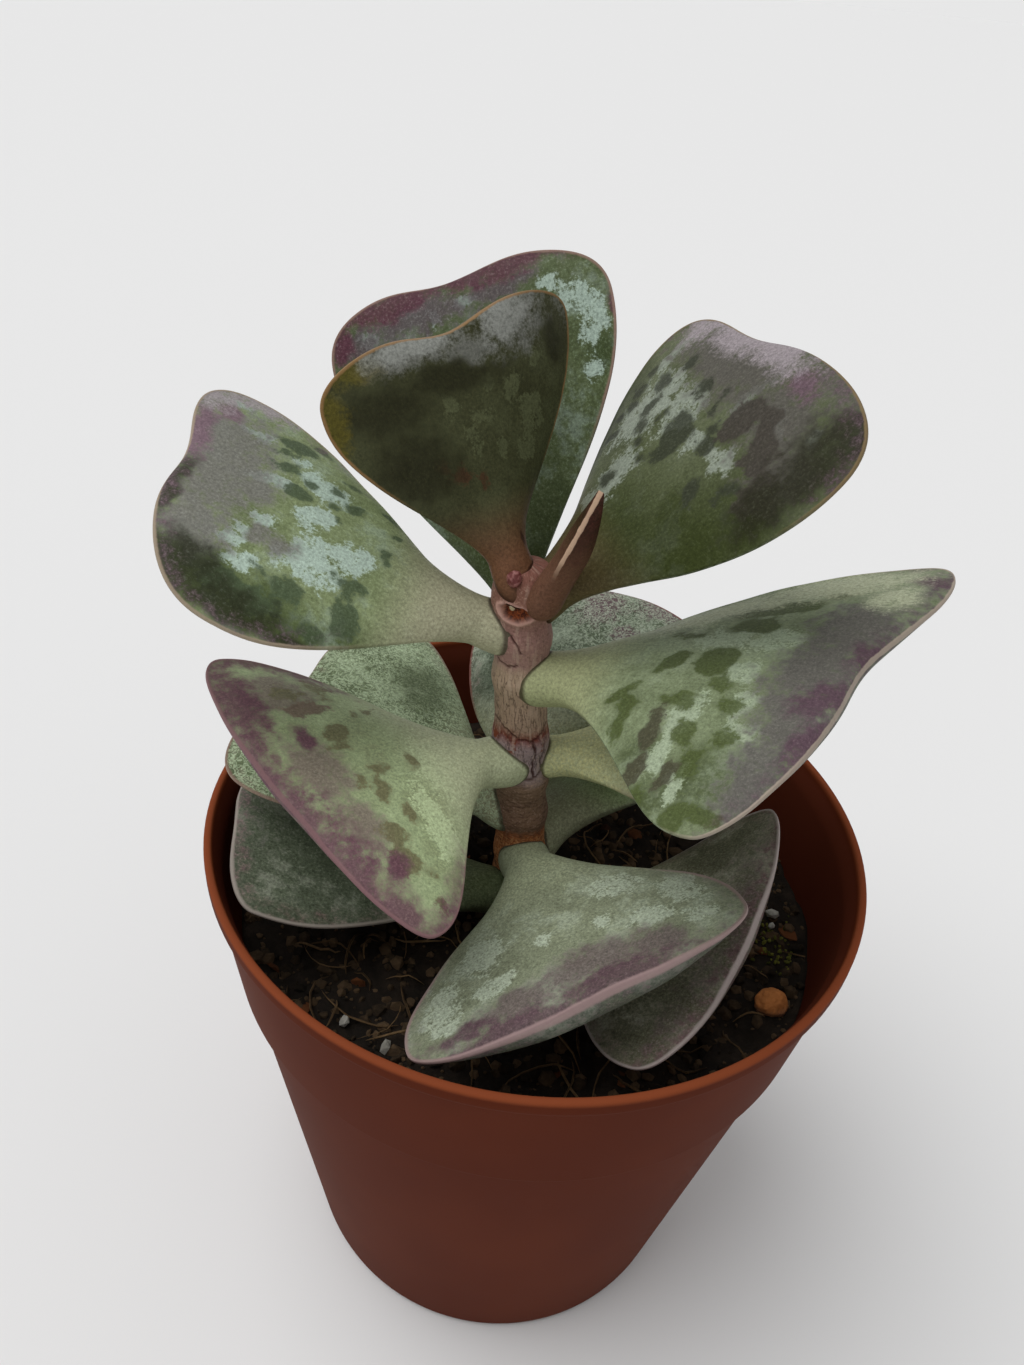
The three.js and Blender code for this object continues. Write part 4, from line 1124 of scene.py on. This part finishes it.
LEAF_MARKS = {
    "leaf_right": {
        "blot": [
            (11.9, 4.3, 0.7, 0.4, 0), (13.3, 4.2, 0.9, 0.5, 20), (18, 8.2, 3.3, 1.1, 28),
            (17.8, 10.9, 1, 0.5, 10), (17.1, 5.4, 1.9, 0.8, 15), (16.3, 0.9, 1.8, 1.6, 50),
            (12.5, 0.5, 1.8, 0.8, 46), (10.2, -3, 1.5, 0.65, 50), (11.6, -3.8, 1.1, 0.8, 0),
            (11.5, -5.5, 1.5, 0.5, 80), (15.3, -3.5, 1.4, 0.8, 10), (17.9, -1.5, 1.1, 0.7, 0),
            (19.3, -3.4, 1.2, 0.7, 10), (16.8, -6.2, 1.1, 1.2, 60), (18.5, -8.5, 1.8, 0.9, 80),
            (20.1, -6, 0.9, 0.9, 0), (19.1, -12.9, 1.1, 1.1, 0), (21.3, -12.3, 1.4, 1, 0),
            (15.3, -12, 0.6, 1.2, 0), (21.3, 10.5, 1, 0.8, 0),
        ],
        "rust": [(14, -6, 1.6, 0.7, 80), (14.4, -9.5, 1.8, 0.8, 80), (17.1, -10, 1.5, 0.8, 80)],
        "mint": [
            (16, 3.5, 3, 1.5, 0), (19.3, 4, 2, 1.4, 20), (18.6, 0, 1.3, 1.5, 60),
            (20.4, -2.9, 1.2, 1.4, 60), (21, -5.6, 1, 1.5, 70), (16, -5, 2.5, 1.2, 70),
            (15.4, -8.5, 1.2, 2, 0), (18, -10.5, 1, 2, 0),
        ],
        "smoke_and_painted_sheen": [(24, 6, 3.2, 3.4, 0), (23.3, 1, 3, 4, 0), (24, -4, 2.6, 4, 0), (23.5, -9, 2.3, 4, 0)],
        "flush": [(26, 3.4, 1.8, 1.2, 70), (25, -1.6, 2, 1.3, 60), (26.5, 13, 1.8, 0.9, 0),
                  (25.4, -6, 1.2, 2.4, 0)],
        # The pale sheen marks on the upper side are painted light, where the blade's curve turns it from the
        # light.
        "painted_sheen": [(25, 10, 1.4, 1.6, 0), (20.5, 12, 5, 2, 20), (14, 8.2, 5, 1.8, 32)],
        "deep_and_painted_shade": [(19.6, -10, 2.4, 3.6, 0), (16.4, -12, 2, 1.6, 0), (13.6, -8, 1.6, 1.6, 0)],
    },
    "leaf_upper_left": {
        "blot": [
            (21, -8.6, 1.6, 0.8, 0), (21.6, -7.2, 0.7, 0.5, 0), (21, -5.2, 1.1, 0.7, 0),
            (19, -4.6, 0.55, 0.5, 0), (19.8, -2.9, 1, 0.8, 0), (17.1, -5.7, 0.6, 0.5, 0),
            (15.3, -7.5, 0.9, 0.4, 0), (16.8, -3.5, 0.65, 0.5, 0), (15, -4.5, 0.9, 0.8, 0),
            (15.8, -2.2, 0.5, 0.5, 0), (12.4, -6.3, 0.9, 0.4, 0), (11.6, -3.7, 0.5, 0.5, 0),
            (11.7, -0.8, 0.5, 0.6, 0), (19, -10, 1, 0.4, 0), (14.8, 2.9, 0.3, 0.3, 0),
            (19.6, 5.6, 0.6, 0.5, 0), (13.4, 3.6, 0.8, 0.8, 0), (13.3, 5.8, 1.3, 1.4, 0),
            (15.2, 8.2, 1, 0.8, 0), (17.8, 6.1, 1.1, 1, 0), (20.5, 7.8, 2.6, 1, -6),
        ],
        "mint": [(22, 3.8, 1.1, 0.8, 0), (22, 2.5, 0.8, 0.6, 0), (21.3, 0.9, 1, 0.6, 0),
                 (21.5, 5.8, 1.1, 0.7, 0), (20.3, 5.1, 0.9, 0.7, 0), (16.6, 2.7, 2.6, 2.2, 0),
                 (18.4, -0.6, 1.1, 1.1, 0), (22.2, -3.4, 1.2, 0.7, 30), (21.2, -3.3, 0.8, 0.6, 0),
                 (24, -7.7, 1.4, 0.6, 20), (26.5, -10.5, 1.4, 0.8, 0), (20.2, -6.6, 0.9, 0.7, 0),
                 (17.6, -5, 2.6, 1.6, 0), (17.2, -1.5, 1.3, 1, 0), (14, 1, 1.6, 1.4, 0)],
        # The deep marks on the lower side are painted shade, where the blade curves down away from the light.
        "deep_and_painted_shade": [(22.5, 7.6, 4, 2.2, -8), (17, 8.6, 5, 2, 0), (13, 7.4, 2.4, 1.4, 0),
                 (18.8, 7.3, 1.8, 1.4, 0)],
        "smoke_and_painted_sheen": [(25.4, -3, 3.6, 7, 0), (20.8, 2.4, 0.9, 1, 0), (19, 2.5, 1, 1, 0),
                  (22.8, -1.6, 1.6, 2.2, 0), (25, 4, 2.6, 3, 0), (22.4, 4.8, 0.5, 0.5, 0)],
        # The shade marks are painted shade too, on the lower side and at the tip.
        "shade": [(24.4, 7.2, 3, 2, -20), (20.4, 9, 4, 1.4, 0), (27.4, 1.5, 0.8, 4, 0),
                  (16, 9.6, 2.4, 0.8, 0)],
        "flush": [(28, -5, 1.2, 3.4, 0), (26.6, -8.6, 1.2, 1.2, 0)],
        # Painted highlight on the upper corner of the end.
        "painted_sheen": [(28.2, -10.4, 2, 2, 0), (24, -12, 2.6, 1.2, 0)],
    },
    "leaf_upper_right": {
        "blot": [
            (17.6, 10, 0.7, 0.7, 0), (16.4, 9.1, 0.7, 0.6, 0), (16.9, 6.9, 1, 0.6, 10),
            (15.7, 5.7, 0.8, 0.5, 0), (13.1, 8, 0.8, 0.6, 0), (14.2, 2.5, 0.7, 0.5, 0),
            (11.2, 3.7, 0.9, 0.7, 0), (18.2, 2.2, 1.1, 0.9, 0), (16.4, 0.9, 2.3, 1.2, 0),
            (18.1, -1.8, 0.9, 0.8, 0), (15.6, -4.4, 1.1, 0.8, 0), (16.9, -6.6, 0.6, 0.6, 0),
            (20.8, 0.6, 0.7, 0.4, 0), (20.7, 3, 0.9, 0.7, 0), (18.7, 7.9, 0.9, 0.8, 0),
            (19.4, 10.2, 0.6, 0.5, 0), (15, 4.2, 0.6, 0.5, 0), (17.4, 4.4, 0.6, 0.4, 0),
            (21.4, 6.4, 0.9, 0.7, 0), (14.6, 9.6, 0.6, 0.4, 0), (19.2, -1, 1, 0.8, 0),
        ],
        "rust": [(20.8, -2.7, 1.9, 1.4, 0), (19.8, -6.4, 1.5, 1.3, 0), (17.9, -8.6, 1.9, 1.3, 0),
                 (21.6, -5, 1.2, 1, 0)],
        "mint": [(21.3, 9.5, 2.6, 0.6, 0), (19.6, 6.5, 1.6, 0.7, 20), (18.8, 4.2, 1.2, 0.8, 0),
                 (22.6, -1.6, 2.2, 0.6, -10), (22.2, -5.6, 1.5, 0.5, 60), (22.8, -8.6, 0.8, 0.5, 0),
                 (16.4, 7, 4, 2.6, 0), (12.4, 3.4, 2.6, 1.6, 0), (18.6, 2.6, 2.4, 1.6, 0),
                 (17.4, -0.8, 1.2, 0.8, 0), (18.2, -3.8, 0.7, 1.6, 0), (9.4, 2.6, 1.5, 1.5, 0)],
        # The deep marks, mostly on the lower right side, are painted shade on the side turned from the light.
        "deep_and_painted_shade": [(8, -2, 5, 4.6, 0), (12.6, -4.8, 3.4, 2.4, 0), (12, -8, 7, 4.2, 0), (16, -9.8, 4.6, 2.8, 0)],
        "smoke_and_painted_sheen": [(23.5, 3, 3.2, 7, 0), (22, -5, 2.8, 4, 0), (20, -8.5, 2.6, 2.5, 0)],
        # The shade marks are painted shade on the same side.
        "shade": [(21.6, -10, 3.2, 2.4, 0), (18, -9.6, 3, 1.8, 0), (24, -11, 1.4, 2, 0)],
        "flush": [(25, -4.6, 1, 1.8, 0)],
        # Painted sheen along the top edge.
        "painted_sheen": [(25.8, 5.6, 2, 4.6, 0), (26, 0.6, 1.5, 4, 0), (24.8, 9.8, 2.2, 1.8, 0)],
    },
    "leaf_left": {
        "blot": [
            (14.3, -9.8, 1, 0.6, 0), (14.7, -8.5, 0.6, 0.4, 0), (17.6, -9, 1.2, 0.6, 0),
            (13.3, -6, 0.4, 0.4, 0), (11.9, -6.5, 0.8, 0.3, 0), (15.4, -4.3, 1.2, 1, 0),
            (15.8, -2.7, 1.2, 0.5, 0), (11.6, 0.2, 0.6, 0.9, 0), (14.4, 0, 0.8, 0.7, 0),
            (16.5, 1.2, 0.35, 0.35, 0), (15.4, 2.2, 0.7, 1, 0), (14.2, 4.4, 0.6, 0.7, 0),
            (16.8, 5.9, 1.1, 1, 0), (16.9, 8.5, 1.1, 1.4, 0), (15.9, 9.3, 0.45, 0.4, 0),
            (15.3, 9.6, 0.5, 0.4, 0), (15.5, 12.3, 0.3, 0.6, 0),
        ],
        "rust": [(17.2, -7.3, 2.2, 0.7, 0)],
        "mint": [(9, 1, 2.5, 4, 0), (12.5, 6, 1.5, 4, 0)],
        "smoke_and_painted_sheen": [(18.6, -9, 3, 2, 0), (18.6, -1, 2, 3.5, 0), (18.6, 5, 1.6, 3, 0)],
        "flush": [(18.6, -4.2, 0.9, 1.2, 0), (21.8, -8.5, 1.6, 4, 0), (22.4, -2.6, 1.4, 4, 0),
                  (21.8, 3.5, 2, 4.5, 0), (21, 8, 2.2, 4, 0), (19.2, 11.6, 2, 2.4, 0),
                  (17.8, 8.8, 0.9, 1.3, 0)],
    },
    "leaf_top_front": {
        "mint": [(14.3, 2, 1, 0.8, 0), (13, -1, 0.7, 1.2, 0), (14.5, -3.6, 0.9, 0.7, 0),
                 (12.2, -4.6, 1.5, 0.8, 0), (9.8, -3.4, 1.5, 1, 0), (16, -6.2, 0.8, 0.6, 0),
                 (11.6, 0.6, 0.8, 0.6, 0), (15.4, -2, 0.6, 0.5, 0), (10.6, -1.4, 0.8, 0.7, 0)],
        "rust": [(9.8, 2.4, 0.7, 0.5, 0), (8.8, 0.6, 0.7, 0.4, 0), (10.6, 3.6, 0.5, 0.4, 0)],
        # The smoke and sheen marks under the top edge are a painted reflection of the sky.
        "smoke_and_painted_sheen": [(18.4, 3, 1.2, 4.2, 0), (18.6, -5, 1.9, 2.8, 0), (17.6, -1, 0.8, 2.6, 0)],
        "painted_sheen": [(18.8, -4.6, 1.2, 2, 0), (18.4, 3.4, 0.6, 2.6, 0)],
        # The shade marks on this leaf are dark pigment.
        "shade": [(15, 6, 1.6, 2.6, 0), (11, 5, 2.4, 2, 0), (16, 1, 0.8, 4, 0), (16.2, -8.4, 1.4, 0.8, 0)],
        "flush": [(15.4, 9.8, 2.6, 1.2, 0), (18, 8, 1, 2, 0)],
    },
    "leaf_top_back": {
        "mint": [(22.6, -10, 1.7, 1.1, 0), (24.4, -9, 1.1, 1.3, 0), (21, -9.4, 1.1, 0.8, 0),
                 (25.7, -6.8, 0.7, 1.2, 0), (26.2, -0.6, 0.7, 0.9, 0), (24.8, 2.5, 0.8, 0.7, 0),
                 (26.4, 4.5, 0.6, 1.2, 0), (25.4, 8, 0.7, 0.7, 0), (18.4, -9, 1, 0.6, 0)],
        "deep_and_painted_shade": [(19.4, -9.8, 1.6, 1.2, 0)],
        "smoke_and_painted_sheen": [(25.8, 3.6, 1.6, 5, 0), (24.8, 9, 1.6, 2, 0), (26.6, -3, 0.9, 2.4, 0)],
        "flush": [(28.3, -2, 1.2, 8, 0), (27.8, 6, 1.3, 5, 0), (25.6, 10.4, 2.4, 1, 0),
                  (22.4, -11.8, 1.4, 0.5, 0)],
    },
    "leaf_front": {
        "smoke_and_painted_sheen": [(21, 1.6, 2.2, 3.6, 0), (22, -4.5, 1.6, 3.4, 0), (22, 6, 1.4, 2.4, 0)],
        "flush": [(24.2, -5, 1.2, 6, 0), (23.8, 3, 1.2, 5, 0), (22.4, -8.6, 0.9, 2.2, 0)],
        # The pale mark at along 15.6, across 9.6 is partly painted light, where leaf_right's shadow falls on
        # this leaf.
        "mint": [(14, -6, 2.2, 2, 0), (12, 5, 1.6, 2.4, 0), (17.4, -9.6, 3, 2, 0), (15.6, 9.6, 2.6, 2, 0),
                 (18.6, -5.4, 1.2, 1.4, 0), (18.6, 6.4, 1.2, 1.8, 0), (15.6, -1, 1, 0.8, 0),
                 (16.4, 3.4, 0.9, 0.7, 0), (20.6, -9.6, 1.4, 1.2, 0), (20, 9.4, 1, 1.4, 0)],
    },
    "leaf_back": {
        "smoke_and_painted_sheen": [(21, -1, 2.6, 2.2, 0), (22, -7, 2, 2.4, 0), (17.6, -5, 1.2, 1.4, 0)],
        "deep_and_painted_shade": [(12, 5, 8, 5, 0), (8, -2, 3, 2, 0)],
    },
    "leaf_back_left": {
        "deep_and_painted_shade": [(14, -6, 3, 3, 0)],
        "smoke_and_painted_sheen": [(17, 3, 1.8, 1.2, 20)],
    },
}


for seed, (name, own) in enumerate(LEAVES.items()):
    piece = leaf_piece(name, own, LEAF_LOOKS[name], LEAF_MARKS.get(name, {}), seed, shift=40 * seed)
    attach(piece, "root")
    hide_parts(name)


# The young leaf is still narrow, folded and pointed: it has just opened beside the tip.
YOUNG_FORM = {
    "at": 72.6, "aside": 1.7, "back": -1.9, "turn": -40, "rise": 66, "roll": 20, "bend": 6,
    "twist": 1.5, "sway": -2, "length": 11.3, "width": 3.5, "thick": 2.2, "belly": 0.2,
    "stalk": 3.2, "stalk_width": 2.6, "widest": 0.3, "left_corner": 1.2,
    "right_corner": 1.2, "right_flare": 1.3, "notch": 0,
}
YOUNG_LOOK = {
    "green": "3c2e1c", "mint": "5e4a38", "deep_and_painted_shade": "2b1d15", "back": "3a241a", "smoke_and_painted_sheen": "45291f",
    "flush": "45241f", "rim": "c8a88e", "stalk": "6a4a3a", "bloom": 0.2, "rim_width": 0.32,
    "rim_from": 0.4,
}
YOUNG_SEED = 20
YOUNG_AROUND = 64

young_leaf = leaf_piece("young_leaf", YOUNG_FORM, YOUNG_LOOK, {}, YOUNG_SEED, around=YOUNG_AROUND)
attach(young_leaf, "root")
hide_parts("young_leaf")


# The pot stands on a plain pale floor that runs to the horizon, under a soft sky, paler low down,
# and one wide soft light from above and a little to the left.
FLOOR_RADIUS = 30
HORIZON_LIGHT = 0.8
OVERHEAD_LIGHT = 0.48
SKY_DARKENS_BY = 0.35
SUN_STRENGTH = 1.75
SUN_WIDTH = 50
SUN_TURN = (3, -24, 0)

floor_shape = bmesh.new()
bmesh.ops.create_circle(floor_shape, cap_ends=True, cap_tris=True, segments=96, radius=FLOOR_RADIUS)
floor_finish = Finish("floor_paper", roughness=0.9, specular=0.05)
floor_finish.shader.inputs["Base Color"].default_value = paint("e8e8e8")
floor = piece_of(floor_shape, "floor", floor_finish)

sky = bpy.data.worlds.new("sky")
sky.use_nodes = True
sky_nodes, sky_links = sky.node_tree.nodes, sky.node_tree.links
direction = sky_nodes.new("ShaderNodeTexCoord")
direction_parts = sky_nodes.new("ShaderNodeSeparateXYZ")
light_by_height = sky_nodes.new("ShaderNodeMapRange")
light_by_height.interpolation_type = "SMOOTHSTEP"
light_by_height.inputs["From Max"].default_value = SKY_DARKENS_BY
light_by_height.inputs["To Min"].default_value = HORIZON_LIGHT
light_by_height.inputs["To Max"].default_value = OVERHEAD_LIGHT
sky_links.new(direction.outputs["Generated"], direction_parts.inputs["Vector"])
sky_links.new(direction_parts.outputs["Z"], light_by_height.inputs["Value"])
sky_nodes["Background"].inputs["Color"].default_value = (1, 1, 1, 1)
sky_links.new(light_by_height.outputs["Result"], sky_nodes["Background"].inputs["Strength"])
scene.world = sky
sun_lamp = bpy.data.lights.new("sun", "SUN")
sun_lamp.energy = SUN_STRENGTH
sun_lamp.angle = math.radians(SUN_WIDTH)
sun = bpy.data.objects.new("sun", sun_lamp)
sun.rotation_euler = [math.radians(angle) for angle in SUN_TURN]
scene.collection.objects.link(sun)
scene.view_settings.view_transform = "Standard"
